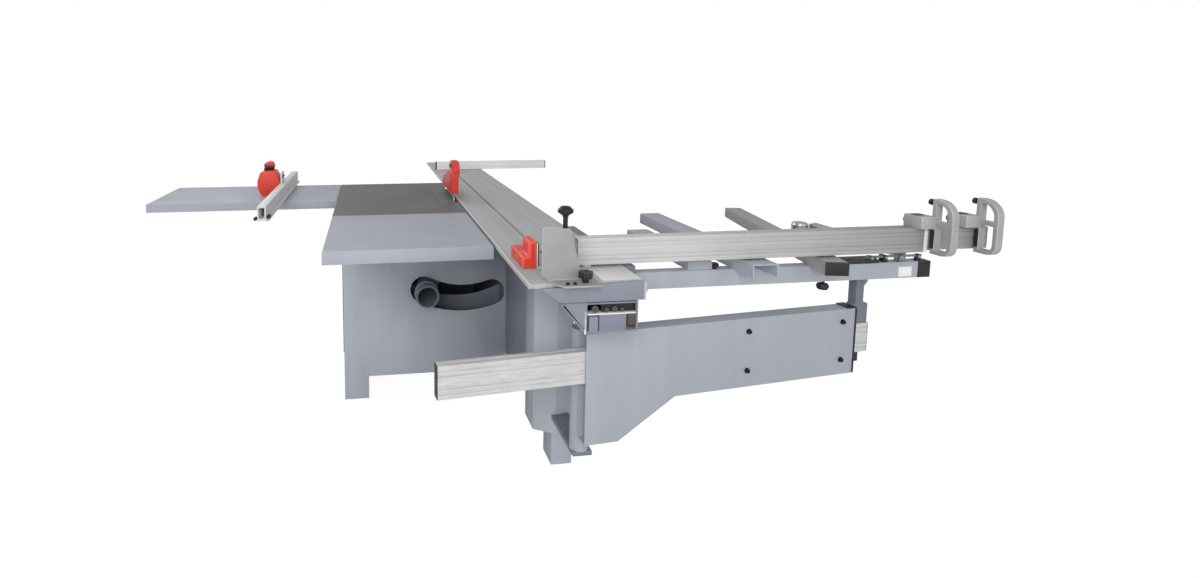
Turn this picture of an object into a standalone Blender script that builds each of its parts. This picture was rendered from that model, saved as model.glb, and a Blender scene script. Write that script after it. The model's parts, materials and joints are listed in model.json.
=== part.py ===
"""Sliding panel saw: cabinet with tables, rip fence, sliding carriage with outrigger, and swing arm.

Machine directions: X runs across the machine from the rip side to the carriage side, with X = 0 at
the carriage's blade-side edge. Y runs from the outfeed end to the infeed end, with Y = 0 at the
carriage's outfeed end. Z = 0 is the floor. The finished part stands with its origin on the floor
under the middle of its bounding box. All sizes are in metres.
"""

import math

import bmesh
import bpy
from mathutils import Matrix, Vector

# ---------------------------------------------------------------- driving dimensions
GAP = 0.0003  # between pieces that touch
RUN = 0.0008  # between pieces that turn or slide in each other

TABLE_HEIGHT = 0.900
CARRIAGE_LENGTH = 3.238
CARRIAGE_WIDTH = 0.363
CARRIAGE_DEPTH = 0.060
END_PLATE = 0.012

BEAM_GAP = 0.008  # carriage underside to beam
BEAM_DEPTH = 0.097
BEAM_WALL = 0.006
BEAM_END_INSET = 0.016
BEAM_EDGE = 0.011  # beam's side inside the carriage's side
WAY_WIDTH = 0.025  # raised ways that the carriage runs on
WAY_PLAY = 0.0005

MAIN_TABLE_WIDTH = 0.636
MAIN_TABLE_LENGTH = 0.980
MAIN_TABLE_THICK = 0.030
MAIN_TABLE_NEAR = 1.120
TABLE_TO_CARRIAGE = 0.009

OUTFEED_LENGTH = 0.641
OUTFEED_FLANGE = 0.052
WING_WIDTH = 0.970
WING_LENGTH = 0.557
WING_NEAR = 1.549
WING_FLANGE = 0.045
SHEET = 0.004

CABINET_LEFT = -0.600
CABINET_RIGHT = 0.200
CABINET_FLOOR = 0.110  # underside above the floor
FOOT_WIDTH = 0.115

COLUMN_LEFT = 0.157
COLUMN_WIDTH = 0.158
COLUMN_NEAR = 0.455
COLUMN_DEPTH = 0.165
COLUMN_FOOT_HEIGHT = 0.150

BLADE_X = -0.020
BLADE_Y = 1.660
BLADE_RADIUS = 0.150
BLADE_THICK = 0.0032
ARBOR_DROP = 0.060  # the arbor's axis below the table top at rest
BORE_RADIUS = 0.015
SHAFT_RADIUS = 0.0125
FLANGE_RADIUS = 0.030
ARBOR_PULLEY_RADIUS = 0.022
MOTOR_PULLEY_RADIUS = 0.033
MOTOR_DROP = 0.240  # arbor centre to motor centre
MOTOR_RADIUS = 0.090
MOTOR_LENGTH = 0.250
BELT_THICK = 0.005
BELT_WIDTH = 0.014
SCORING_RADIUS = 0.055
SCORING_OFFSET = 0.225  # beyond the main arbor, towards the infeed end
CARRIER_OFFSET = 0.180  # blade to the carrier's outer face
CARRIER_THICK = 0.010
CARRIER_UNDER = 0.438
BRACKET_THICK = 0.012
PULLEY_OFFSET = 0.135  # blade to the belt's middle
KNIFE_THICK = 0.0026
HOUSING_RADIUS = 0.028

PORT_SWING = 0.420  # duct centre from the tilt axis
PORT_ANGLE = math.radians(26.5)
TILT = math.radians(45.0)
PORT_RADIUS = 0.050
PORT_WALL = 0.0025
SLOT_HALF = 0.065
PORT_NEAR = 1.020
HOOD_WALL = 0.0025

GUARD_WIDTH = 0.050
GUARD_LENGTH = 0.360
GUARD_HEIGHT = 0.172
GUARD_TAIL = 0.050  # height of its infeed end
GUARD_FLOAT = 0.035  # underside above the table
GUARD_WALL = 0.003

RIP_FENCE_X = -0.965
RIP_FENCE_WIDTH = 0.038
RIP_FENCE_HEIGHT = 0.066
RIP_FENCE_WALL = 0.005
RIP_FOOT = 0.022  # flange along the fence's foot
RIP_FOOT_THICK = 0.010
RIP_FENCE_NEAR = 1.020
RIP_FENCE_LENGTH = 1.230
RIP_HEAD_WIDTH = 0.120
RIP_HEAD_LENGTH = 0.110
RIP_HEAD_HEIGHT = 0.140
RIP_HEAD_Y = 1.720
RIP_RAIL_RADIUS = 0.0225
RIP_RAIL_Y = 2.170
RIP_RAIL_Z = 0.845

RAIL_Y = 0.228
RAIL_DEPTH = 0.040
RAIL_HEIGHT = 0.060
RAIL_TOP = 0.853
RAIL_END = 1.585
RAIL_WALL = 0.003
INNER_RAIL_Y = 0.700
INNER_RAIL_END = 1.530
CROSS_BAR_HEIGHT = 0.0465
CROSS_BAR_WIDTH = 0.092
CROSS_BAR_LENGTH = 0.880
CROSS_BAR_AT = (0.849, 0.553)
CROSS_BAR_ANGLE = math.radians(-0.6)
ANGLED_BAR_WIDTH = 0.075
ANGLED_BAR_LENGTH = 0.990
ANGLED_BAR_AT = (1.215, 0.585)
ANGLED_BAR_ANGLE = math.radians(-13.4)
TIE_LEFT = 0.632
TIE_WIDTH = 0.090
TIE_THICK = 0.030
ROLLER_X = 1.485
ROLLER_RADIUS = 0.019
ROLLER_PIN = 0.006

FENCE_Y = 0.158
FENCE_THICK = 0.045
FENCE_HEIGHT = 0.088
FENCE_LIFT = 0.009  # underside above the table
FENCE_LEFT = 0.205
FENCE_RIGHT = 1.490
FENCE_WALL = 0.004
FENCE_PIVOT = (0.240, 0.180)
EXTENSION_START = 0.900
EXTENSION_END = 1.740
STOP_A_X = 1.500  # left side of each flip stop
STOP_B_X = 1.677
STOP_THICK = 0.025
STOP_REACH = 0.078  # from its hinge side to its round nose
STOP_HEIGHT = 0.196
STOP_BAR = 0.015
SLIDER_LENGTH = 0.058
SLIDER_HEIGHT = 0.042
STOP_PIN = 0.006

ARM_PIVOT = (0.250, 0.235)
ARM_ANGLE = math.radians(5.5)
ARM_POST_RADIUS = 0.0225
ARM_THICK = 0.056
ARM_OFFSET = 0.064  # housing's middle plane from the pivot
ARM_START = -0.023
ARM_END = 1.051
ARM_TOP = 0.680
ARM_ROOT_BOTTOM = 0.290
ARM_TIP_BOTTOM = 0.432
ARM_WALL = 0.004
BAR_HEIGHT = 0.110
BAR_THICK = 0.040
BAR_BOTTOM = 0.506
BAR_START = -0.525
BAR_END = 1.120
BAR_WALL = 0.004
BEARING_RADIUS = 0.017
POST_SIZE = 0.034
POST_AT = 1.079
SLEEVE_UNDER = 0.230
ARM_BEARINGS = (0.597, 0.997)  # along the arm, from the pivot

WHEEL_SHAFT = 0.010
WHEEL_RIM = 0.085
GROOVE_X = 0.140
GROOVE_WIDTH = 0.012
GROOVE_DEPTH = 0.012
SHOE_NEAR = 0.168
MITRE_FROM_END = 0.486  # near side of the mitre bar to the carriage's far end
MITRE_WIDTH = 0.046
MITRE_HEIGHT = 0.058

# ---------------------------------------------------------------- sizes worked out from them
CARRIAGE_UNDER = TABLE_HEIGHT - CARRIAGE_DEPTH
MITRE_NEAR = CARRIAGE_LENGTH - MITRE_FROM_END
BEAM_TOP = CARRIAGE_UNDER - BEAM_GAP
BEAM_UNDER = BEAM_TOP - BEAM_DEPTH
BEAM_RIGHT = CARRIAGE_WIDTH - BEAM_EDGE
TABLE_RIGHT = -TABLE_TO_CARRIAGE
TABLE_LEFT = TABLE_RIGHT - MAIN_TABLE_WIDTH
TABLE_UNDER = TABLE_HEIGHT - MAIN_TABLE_THICK
TABLE_FAR = MAIN_TABLE_NEAR + MAIN_TABLE_LENGTH
WING_LEFT = TABLE_LEFT - GAP - WING_WIDTH
WING_FAR = WING_NEAR + WING_LENGTH
CABINET_NEAR = MAIN_TABLE_NEAR + GAP
CABINET_FAR = TABLE_FAR
CABINET_TOP = TABLE_UNDER - GAP
BLADE_RISE = BLADE_RADIUS - ARBOR_DROP  # above the table at rest
ARBOR_Z = TABLE_HEIGHT - ARBOR_DROP
MOTOR_Z = ARBOR_Z - MOTOR_DROP
SCORING_Y = BLADE_Y + SCORING_OFFSET
SCORING_Z = TABLE_HEIGHT - SCORING_RADIUS + 0.001
PULLEY_X = BLADE_X - PULLEY_OFFSET
CARRIER_LEFT = BLADE_X - CARRIER_OFFSET
CARRIER_FACE = CARRIER_LEFT + CARRIER_THICK
BRACKET_NEAR = BLADE_Y - 0.415
BRACKET_FAR = SCORING_Y + 0.118
HOOD_LOW = (BLADE_X - 0.080, BLADE_Y - 0.190, ARBOR_Z - 0.248)
HOOD_HIGH = (BLADE_X + 0.020, BLADE_Y + 0.180, ARBOR_Z - 0.130)
RAIL_UNDER = RAIL_TOP - RAIL_HEIGHT
BAR_TOP_Z = RAIL_TOP + GAP + CROSS_BAR_HEIGHT
ROLLER_Z = BAR_TOP_Z - ROLLER_RADIUS
FENCE_UNDER = TABLE_HEIGHT + FENCE_LIFT
FENCE_TOP = FENCE_UNDER + FENCE_HEIGHT
CLAMP_REACH = 0.040  # clamp plate's foot beyond the carriage's end

X_MIN = WING_LEFT
X_MAX = EXTENSION_END
Y_MIN = -CLAMP_REACH
Y_MAX = CARRIAGE_LENGTH
ORIGIN = Vector(((X_MIN + X_MAX) / 2, (Y_MIN + Y_MAX) / 2, 0.0))

# ---------------------------------------------------------------- materials
PAINT = ("painted_steel", (0.36, 0.40, 0.47), 0.45, 0.0)
PAINT_DARK = ("painted_steel_shade", (0.24, 0.27, 0.33), 0.5, 0.0)
IRON = ("cast_iron", (0.14, 0.14, 0.145), 0.4, 0.6)
ALU = ("anodised_aluminium", (0.70, 0.70, 0.70), 0.35, 0.9)
STEEL = ("bright_steel", (0.55, 0.55, 0.57), 0.3, 1.0)
RED = ("red_plastic", (0.75, 0.05, 0.03), 0.4, 0.0)
BLACK = ("black_plastic", (0.02, 0.02, 0.02), 0.45, 0.0)
RUBBER = ("rubber", (0.02, 0.02, 0.02), 0.8, 0.0)
CAST = ("cast_aluminium", (0.62, 0.62, 0.62), 0.5, 0.8)
GREEN = ("green_plastic", (0.03, 0.35, 0.08), 0.4, 0.0)


def clear_scene():
    for old in list(bpy.data.objects):
        bpy.data.objects.remove(old, do_unlink=True)


def collection(name):
    made = bpy.data.collections.new(name)
    bpy.context.scene.collection.children.link(made)
    return made


clear_scene()
PARTS = collection("panel_saw")
CUTTERS = collection("cutters")


def material(spec):
    name, colour, roughness, metallic = spec
    made = bpy.data.materials.get(name)
    if made is None:
        made = bpy.data.materials.new(name)
        made.use_nodes = True
        shader = made.node_tree.nodes["Principled BSDF"]
        shader.inputs["Base Color"].default_value = (*colour, 1.0)
        shader.inputs["Roughness"].default_value = roughness
        shader.inputs["Metallic"].default_value = metallic
    return made


def body(name, at=(0.0, 0.0, 0.0), parent=None):
    """An empty on a joint's axis, in machine coordinates, that the body's pieces hang from."""
    made = bpy.data.objects.new(name + "_axis", None)
    PARTS.objects.link(made)
    made["at"] = tuple(at)
    if parent is None:
        made.location = -ORIGIN
    else:
        made.parent = parent
        made.location = Vector(at) - Vector(parent["at"])
    return made


def place(piece, owner):
    """Hang a piece, made in machine coordinates, from its body's empty."""
    piece.location = piece.location - Vector(owner["at"])
    piece.parent = owner
    return piece


def new_object(name, mesh, at=(0.0, 0.0, 0.0), turn=(0.0, 0.0, 0.0)):
    made = bpy.data.objects.new(name, mesh)
    made.location = at
    made.rotation_euler = turn
    return made


def box(name, low, high):
    """A box between two corners, with its origin in its middle."""
    low = Vector(low)
    high = Vector(high)
    mesh = bpy.data.meshes.new(name)
    shape = bmesh.new()
    bmesh.ops.create_cube(shape, size=1.0, matrix=Matrix.Diagonal((*(high - low), 1.0)))
    shape.to_mesh(mesh)
    shape.free()
    return new_object(name, mesh, (low + high) / 2)


TURNS = {
    "X": (0.0, math.radians(90.0), 0.0),
    "Y": (math.radians(-90.0), 0.0, 0.0),
    "Z": (0.0, 0.0, 0.0),
}


def smooth(mesh):
    mesh.shade_smooth()
    mesh.set_sharp_from_angle(angle=math.radians(35.0))


def rod(name, axis, start, end, radius, segments=24):
    """A cylinder from start, along X, Y or Z, to the coordinate end."""
    index = "XYZ".index(axis)
    low, high = sorted((start[index], end))
    middle = Vector(start)
    middle[index] = (low + high) / 2
    mesh = bpy.data.meshes.new(name)
    shape = bmesh.new()
    bmesh.ops.create_cone(
        shape,
        cap_ends=True,
        segments=segments,
        radius1=radius,
        radius2=radius,
        depth=high - low,
    )
    shape.to_mesh(mesh)
    shape.free()
    smooth(mesh)
    return new_object(name, mesh, middle, TURNS[axis])


def turned(name, axis, at, profile, segments=32):
    """A turned piece: profile is (radius, distance along the axis), from the far end to the near end."""
    mesh = bpy.data.meshes.new(name)
    shape = bmesh.new()
    points = [shape.verts.new((radius, 0.0, along)) for radius, along in profile]
    for first, second in zip(points, points[1:]):
        shape.edges.new((first, second))
    shape.to_mesh(mesh)
    shape.free()
    made = new_object(name, mesh, at, TURNS[axis])
    screw = made.modifiers.new("turn", "SCREW")
    screw.axis = "Z"
    screw.steps = segments
    screw.render_steps = segments
    screw.use_merge_vertices = True
    screw.merge_threshold = 0.00002
    screw.use_smooth_shade = False
    return made


PLANES = {
    "XY": ((0.0, 0.0, 0.0), (0.0, 0.0, 1.0)),
    "XZ": ((math.radians(90.0), 0.0, 0.0), (0.0, 1.0, 0.0)),
    "YZ": ((math.radians(90.0), 0.0, math.radians(90.0)), (1.0, 0.0, 0.0)),
}


def slab(name, plane, outline, low, high, holes=()):
    """A flat outline in a plane, as thick as low to high along the plane's normal, with holes in it."""
    turn, normal = PLANES[plane]
    curve = bpy.data.curves.new(name, "CURVE")
    curve.dimensions = "2D"
    curve.fill_mode = "BOTH"
    curve.extrude = (high - low) / 2
    for ring in (outline, *holes):
        spline = curve.splines.new("POLY")
        spline.points.add(len(ring) - 1)
        for point, (across, up) in zip(spline.points, ring):
            point.co = (across, up, 0.0, 1.0)
        spline.use_cyclic_u = True
    flat = bpy.data.objects.new(name + "_outline", curve)
    PARTS.objects.link(flat)
    mesh = mesh_of(flat)
    bpy.data.objects.remove(flat, do_unlink=True)
    return new_object(name, mesh, Vector(normal) * (low + high) / 2, turn)


def mesh_of(thing):
    """The closed mesh of a curve object, its caps welded and its faces pointing out."""
    bpy.context.view_layer.update()
    evaluated = thing.evaluated_get(bpy.context.evaluated_depsgraph_get())
    mesh = bpy.data.meshes.new_from_object(evaluated)
    shape = bmesh.new()
    shape.from_mesh(mesh)
    bmesh.ops.remove_doubles(shape, verts=shape.verts, dist=0.00002)
    bmesh.ops.recalc_face_normals(shape, faces=shape.faces)
    shape.to_mesh(mesh)
    shape.free()
    return mesh


def pipe(name, points, radius):
    """A round bar or pipe along a smooth run of points."""
    curve = bpy.data.curves.new(name, "CURVE")
    curve.dimensions = "3D"
    curve.bevel_depth = radius
    curve.bevel_resolution = 4
    curve.use_fill_caps = True
    spline = curve.splines.new("POLY")
    spline.points.add(len(points) - 1)
    for point, place_at in zip(spline.points, points):
        point.co = (*place_at, 1.0)
    line = bpy.data.objects.new(name + "_run", curve)
    PARTS.objects.link(line)
    mesh = mesh_of(line)
    bpy.data.objects.remove(line, do_unlink=True)
    smooth(mesh)
    return new_object(name, mesh)


def combine(base, owner, operation, shapes):
    """Join shapes to a piece, or cut them out of it; the shapes stay as hidden cutters."""
    for number, shape in enumerate(shapes):
        shape.name = f"{base.name}_{operation.lower()}_{number}"
        CUTTERS.objects.link(shape)
        place(shape, owner)
        shape.hide_render = True
        shape.display_type = "WIRE"
        step = base.modifiers.new(shape.name, "BOOLEAN")
        step.operation = operation
        step.object = shape


def finish(piece, owner, spec, joined=(), cut=(), bevel=0.0):
    """Give a piece its material, its joined and cut shapes and its body."""
    PARTS.objects.link(piece)
    piece.data.materials.clear()
    piece.data.materials.append(material(spec))
    combine(piece, owner, "UNION", joined)
    combine(piece, owner, "DIFFERENCE", cut)
    if bevel:
        edge = piece.modifiers.new("edge", "BEVEL")
        edge.width = bevel
        edge.segments = 1
        edge.limit_method = "ANGLE"
        edge.angle_limit = math.radians(50.0)
    place(piece, owner)
    return piece


def arc(centre, radius, start, end, steps):
    """Points on an arc, with angles from the first axis towards the second, in radians."""
    return [
        (
            centre[0] + radius * math.cos(start + (end - start) * i / steps),
            centre[1] + radius * math.sin(start + (end - start) * i / steps),
        )
        for i in range(steps + 1)
    ]


def rectangle(low, high):
    return [(low[0], low[1]), (high[0], low[1]), (high[0], high[1]), (low[0], high[1])]


# ---------------------------------------------------------------- bodies and joint axes
ARM_AT = (*ARM_PIVOT, 0.0)
FRAME = body("frame")
DOOR = body("door", (CABINET_LEFT, CABINET_NEAR + SHEET + RUN, 0.0), FRAME)
HEIGHT_WHEEL_AT = (-0.120, CABINET_FAR, 0.500)
TILT_WHEEL_AT = (-0.380, CABINET_FAR, 0.500)
HEIGHT_WHEEL = body("height_wheel", HEIGHT_WHEEL_AT, FRAME)
TILT_WHEEL = body("tilt_wheel", TILT_WHEEL_AT, FRAME)
START_AT = (-0.470, CABINET_FAR, 0.705)
STOP_AT = (-0.330, CABINET_FAR, 0.705)
START = body("start", START_AT, FRAME)
STOP = body("stop", STOP_AT, FRAME)
TILTING = body("tilting_unit", (BLADE_X, BLADE_Y, TABLE_HEIGHT), FRAME)
SCORING = body("scoring_rotor", (BLADE_X, SCORING_Y, SCORING_Z), TILTING)
LIFTING = body("lifting_unit", (BLADE_X, BLADE_Y, ARBOR_Z), TILTING)
ROTOR = body("blade_rotor", (BLADE_X, BLADE_Y, ARBOR_Z), LIFTING)
MOTOR_ROTOR = body("motor_rotor", (BLADE_X, BLADE_Y, MOTOR_Z), LIFTING)
GUARD = body("guard", (BLADE_X, BLADE_Y, TABLE_HEIGHT), LIFTING)
CARRIAGE = body("carriage", (0.0, 0.0, TABLE_HEIGHT), FRAME)
STAR_AT = (0.172, -0.004, TABLE_HEIGHT)
STAR = body("star", STAR_AT, CARRIAGE)
SHOE = body("shoe", (0.140, 0.170, TABLE_HEIGHT), CARRIAGE)
MITRE = body("mitre", (0.140, 2.775, TABLE_HEIGHT), CARRIAGE)
ROLLER = body("roller", (ROLLER_X, INNER_RAIL_Y, BAR_TOP_Z - ROLLER_RADIUS), CARRIAGE)
FENCE = body("fence", (*FENCE_PIVOT, FENCE_UNDER), CARRIAGE)
FENCE_MID = FENCE_Y + FENCE_THICK / 2
FLIP_Y = FENCE_Y - 0.011
FLIP_Z = FENCE_TOP + 0.023
SLIDER_A = body("stop_a", (STOP_A_X, FENCE_MID, FENCE_TOP), FENCE)
FLIP_A = body("flip_a", (STOP_A_X, FLIP_Y, FLIP_Z), SLIDER_A)
EXTENSION = body("extension", (EXTENSION_START, FENCE_MID, FENCE_UNDER), FENCE)
FLIP_B = body("flip_b", (STOP_B_X, FLIP_Y, FLIP_Z), EXTENSION)
ARM = body("arm", ARM_AT, FRAME)
BAR = body("bar", ARM_AT, ARM)
RIP = body("rip", (RIP_FENCE_X, RIP_RAIL_Y, RIP_RAIL_Z), FRAME)
LEVER_Y = RIP_HEAD_Y + 0.055
LEVER_RADIUS = 0.016
HEAD_TOP = TABLE_HEIGHT + RIP_HEAD_HEIGHT
LEVER = body("lever", (RIP_FENCE_X, LEVER_Y, HEAD_TOP + GAP + LEVER_RADIUS), RIP)
RIP_FENCE = body("rip_fence", (RIP_FENCE_X, RIP_HEAD_Y, TABLE_HEIGHT), RIP)


# ---------------------------------------------------------------- cabinet
def panel_outline(left, right):
    """Front or back sheet of the cabinet, with two feet and a top that steps under the carriage."""
    beam_left = BEAM_RIGHT - 0.170
    return [
        (left, 0.0),
        (left + FOOT_WIDTH, 0.0),
        (left + FOOT_WIDTH, CABINET_FLOOR),
        (right - FOOT_WIDTH, CABINET_FLOOR),
        (right - FOOT_WIDTH, 0.0),
        (right, 0.0),
        (right, BEAM_UNDER - GAP),
        (beam_left - 0.012, BEAM_UNDER - GAP),
        (0.088, BEAM_TOP - 0.0005),
        (0.055, CARRIAGE_UNDER + 0.005),
        (TABLE_RIGHT - 0.003, CABINET_TOP),
        (left, CABINET_TOP),
    ]


def tilt_slot():
    """Arc slot that the dust duct travels in as the blade tilts."""
    centre = (BLADE_X, TABLE_HEIGHT)
    down = -math.pi / 2
    first = down - PORT_ANGLE - math.radians(1.5)
    last = down - PORT_ANGLE + TILT + math.radians(0.5)
    steps = 12
    outer = arc(centre, PORT_SWING + SLOT_HALF, first, last, steps)
    inner = arc(centre, PORT_SWING - SLOT_HALF, last, first, steps)
    right_end = (centre[0] + PORT_SWING * math.cos(last), centre[1] + PORT_SWING * math.sin(last))
    left_end = (centre[0] + PORT_SWING * math.cos(first), centre[1] + PORT_SWING * math.sin(first))
    right_cap = arc(right_end, SLOT_HALF, last, last + math.pi, 8)[1:-1]
    left_cap = arc(left_end, SLOT_HALF, first + math.pi, first + 2 * math.pi, 8)[1:-1]
    return outer + right_cap + inner + left_cap


def cabinet():
    inner_near = CABINET_NEAR + SHEET
    inner_far = CABINET_FAR - SHEET
    outline = panel_outline(CABINET_LEFT, CABINET_RIGHT)
    near = slab("cabinet_near_panel", "XZ", outline, CABINET_NEAR, inner_near, [tilt_slot()])
    finish(near, FRAME, PAINT)
    holes = [
        arc((at[0], at[2]), WHEEL_SHAFT + RUN, 0.0, 2 * math.pi, 16)[:-1]
        for at in (HEIGHT_WHEEL_AT, TILT_WHEEL_AT)
    ]
    far = slab("cabinet_far_panel", "XZ", outline, inner_far, CABINET_FAR, holes)
    finish(far, FRAME, PAINT)

    floor = box(
        "cabinet_base",
        (CABINET_LEFT + SHEET + 2 * RUN, inner_near + GAP, CABINET_FLOOR),
        (CABINET_RIGHT - GAP, inner_far - GAP, CABINET_FLOOR + 2 * SHEET),
    )
    feet = []
    foot_depth = 0.090
    for left in (CABINET_LEFT + SHEET + 2 * RUN, CABINET_RIGHT - FOOT_WIDTH):
        for near_y in (inner_near + GAP, inner_far - GAP - foot_depth):
            low = (left, near_y, 0.0)
            high = (left + FOOT_WIDTH - SHEET - 2 * RUN, near_y + foot_depth, CABINET_FLOOR + SHEET)
            feet.append(box("foot", low, high))
    finish(floor, FRAME, PAINT, joined=feet)

    notch_near = BLADE_Y - 0.300
    notch_far = SCORING_Y + 0.115
    base_top = CABINET_FLOOR + 2 * SHEET + GAP
    side = [
        (inner_near + GAP, base_top),
        (inner_far - GAP, base_top),
        (inner_far - GAP, BEAM_UNDER - GAP),
        (notch_far, BEAM_UNDER - GAP),
        (notch_far, 0.620),
        (notch_near, 0.620),
        (notch_near, BEAM_UNDER - GAP),
        (inner_near + GAP, BEAM_UNDER - GAP),
    ]
    right = slab("cabinet_right_panel", "YZ", side, CABINET_RIGHT - SHEET, CABINET_RIGHT)
    finish(right, FRAME, PAINT)

    door_near = inner_near + RUN
    door = box(
        "cabinet_door",
        (CABINET_LEFT, door_near, CABINET_FLOOR + 0.004),
        (CABINET_LEFT + SHEET, inner_far - 2 * RUN, TABLE_HEIGHT - OUTFEED_FLANGE - 0.005),
    )
    finish(door, DOOR, PAINT)


def handwheel(name, owner, at):
    """Dished handwheel on its shaft, with a crank grip."""
    face = at[1] + 0.050
    rim = WHEEL_RIM
    profile = [
        (0.0, face + 0.014),
        (0.018, face + 0.014),
        (0.020, face + 0.004),
        (rim - 0.012, face + 0.006),
        (rim - 0.006, face + 0.016),
        (rim, face + 0.012),
        (rim, face - 0.004),
        (rim - 0.008, face - 0.008),
        (0.024, face - 0.006),
        (0.024, face - 0.030),
        (WHEEL_SHAFT, face - 0.030),
        (WHEEL_SHAFT, at[1] - 0.070),
        (0.0, at[1] - 0.070),
    ]
    wheel = turned(name, "Y", (at[0], 0.0, at[2]), profile, 32)
    grip_at = (at[0], face + 0.002, at[2] + rim - 0.018)
    grip = rod("grip", "Y", grip_at, face + 0.060, 0.010, 16)
    finish(wheel, owner, BLACK, joined=[grip])


def controls():
    low = (-0.550, CABINET_FAR + GAP, 0.620)
    high = (-0.250, CABINET_FAR + 0.045, 0.790)
    face = high[1]
    wells = []
    for at, radius in ((START_AT, 0.0125), (STOP_AT, 0.0185)):
        wells.append(rod("well", "Y", (at[0], face - 0.015, at[2]), face + 0.010, radius + RUN, 24))
    finish(box("control_box", low, high), FRAME, BLACK, cut=wells)
    for name, owner, at, radius, spec in (
        ("start_button", START, START_AT, 0.0125, GREEN),
        ("stop_button", STOP, STOP_AT, 0.0185, RED),
    ):
        profile = [
            (0.0, face + 0.011),
            (radius - 0.003, face + 0.011),
            (radius, face + 0.008),
            (radius, face - 0.009),
            (0.0, face - 0.009),
        ]
        finish(turned(name, "Y", (at[0], 0.0, at[2]), profile, 24), owner, spec)


# ---------------------------------------------------------------- tables
def tray(name, low, high, flange, spec):
    """Folded sheet table: a top with four flanges, open underneath."""
    made = box(name, (low[0], low[1], high[2] - flange), high)
    shape = bmesh.new()
    shape.from_mesh(made.data)
    under = [face for face in shape.faces if face.normal.z < -0.5]
    bmesh.ops.delete(shape, geom=under, context="FACES_ONLY")
    lengthwise = [
        edge
        for edge in shape.edges
        if abs(edge.verts[0].co.z - edge.verts[1].co.z) < 1e-6 and edge.verts[0].co.z > 0
    ]
    bmesh.ops.bevel(
        shape, geom=lengthwise, offset=0.006, offset_type="OFFSET", segments=2, affect="EDGES", profile=0.5
    )
    shape.to_mesh(made.data)
    shape.free()
    wall = made.modifiers.new("wall", "SOLIDIFY")
    wall.thickness = SHEET
    wall.offset = -1.0
    wall.use_even_offset = True
    finish(made, FRAME, spec)


def tables():
    slot_near = BLADE_Y - 0.260
    slot_far = SCORING_Y + 0.070
    insert_left = BLADE_X - 0.075
    insert_thick = 0.006
    top = box(
        "main_table",
        (TABLE_LEFT, MAIN_TABLE_NEAR, TABLE_UNDER),
        (TABLE_RIGHT, TABLE_FAR, TABLE_HEIGHT),
    )
    past = TABLE_RIGHT + 0.050
    slot = box(
        "slot",
        (insert_left + 0.010, slot_near, TABLE_UNDER - 0.010),
        (past, slot_far, TABLE_HEIGHT + 0.010),
    )
    ledge = box(
        "ledge",
        (insert_left, slot_near, TABLE_HEIGHT - insert_thick - GAP),
        (past + 0.010, slot_far, TABLE_HEIGHT + 0.020),
    )
    finish(top, FRAME, IRON, cut=[slot, ledge])
    insert = box(
        "table_insert",
        (insert_left + GAP, slot_near + GAP, TABLE_HEIGHT - insert_thick),
        (BLADE_X - 0.0075, slot_far - GAP, TABLE_HEIGHT - GAP),
    )
    finish(insert, FRAME, ALU)
    tray(
        "outfeed_table",
        (TABLE_LEFT, MAIN_TABLE_NEAR - GAP - OUTFEED_LENGTH, 0.0),
        (TABLE_RIGHT, MAIN_TABLE_NEAR - GAP, TABLE_HEIGHT),
        OUTFEED_FLANGE,
        PAINT,
    )
    tray(
        "wing_table",
        (WING_LEFT, WING_NEAR, 0.0),
        (TABLE_LEFT - GAP, WING_FAR, TABLE_HEIGHT),
        WING_FLANGE,
        PAINT,
    )


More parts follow.
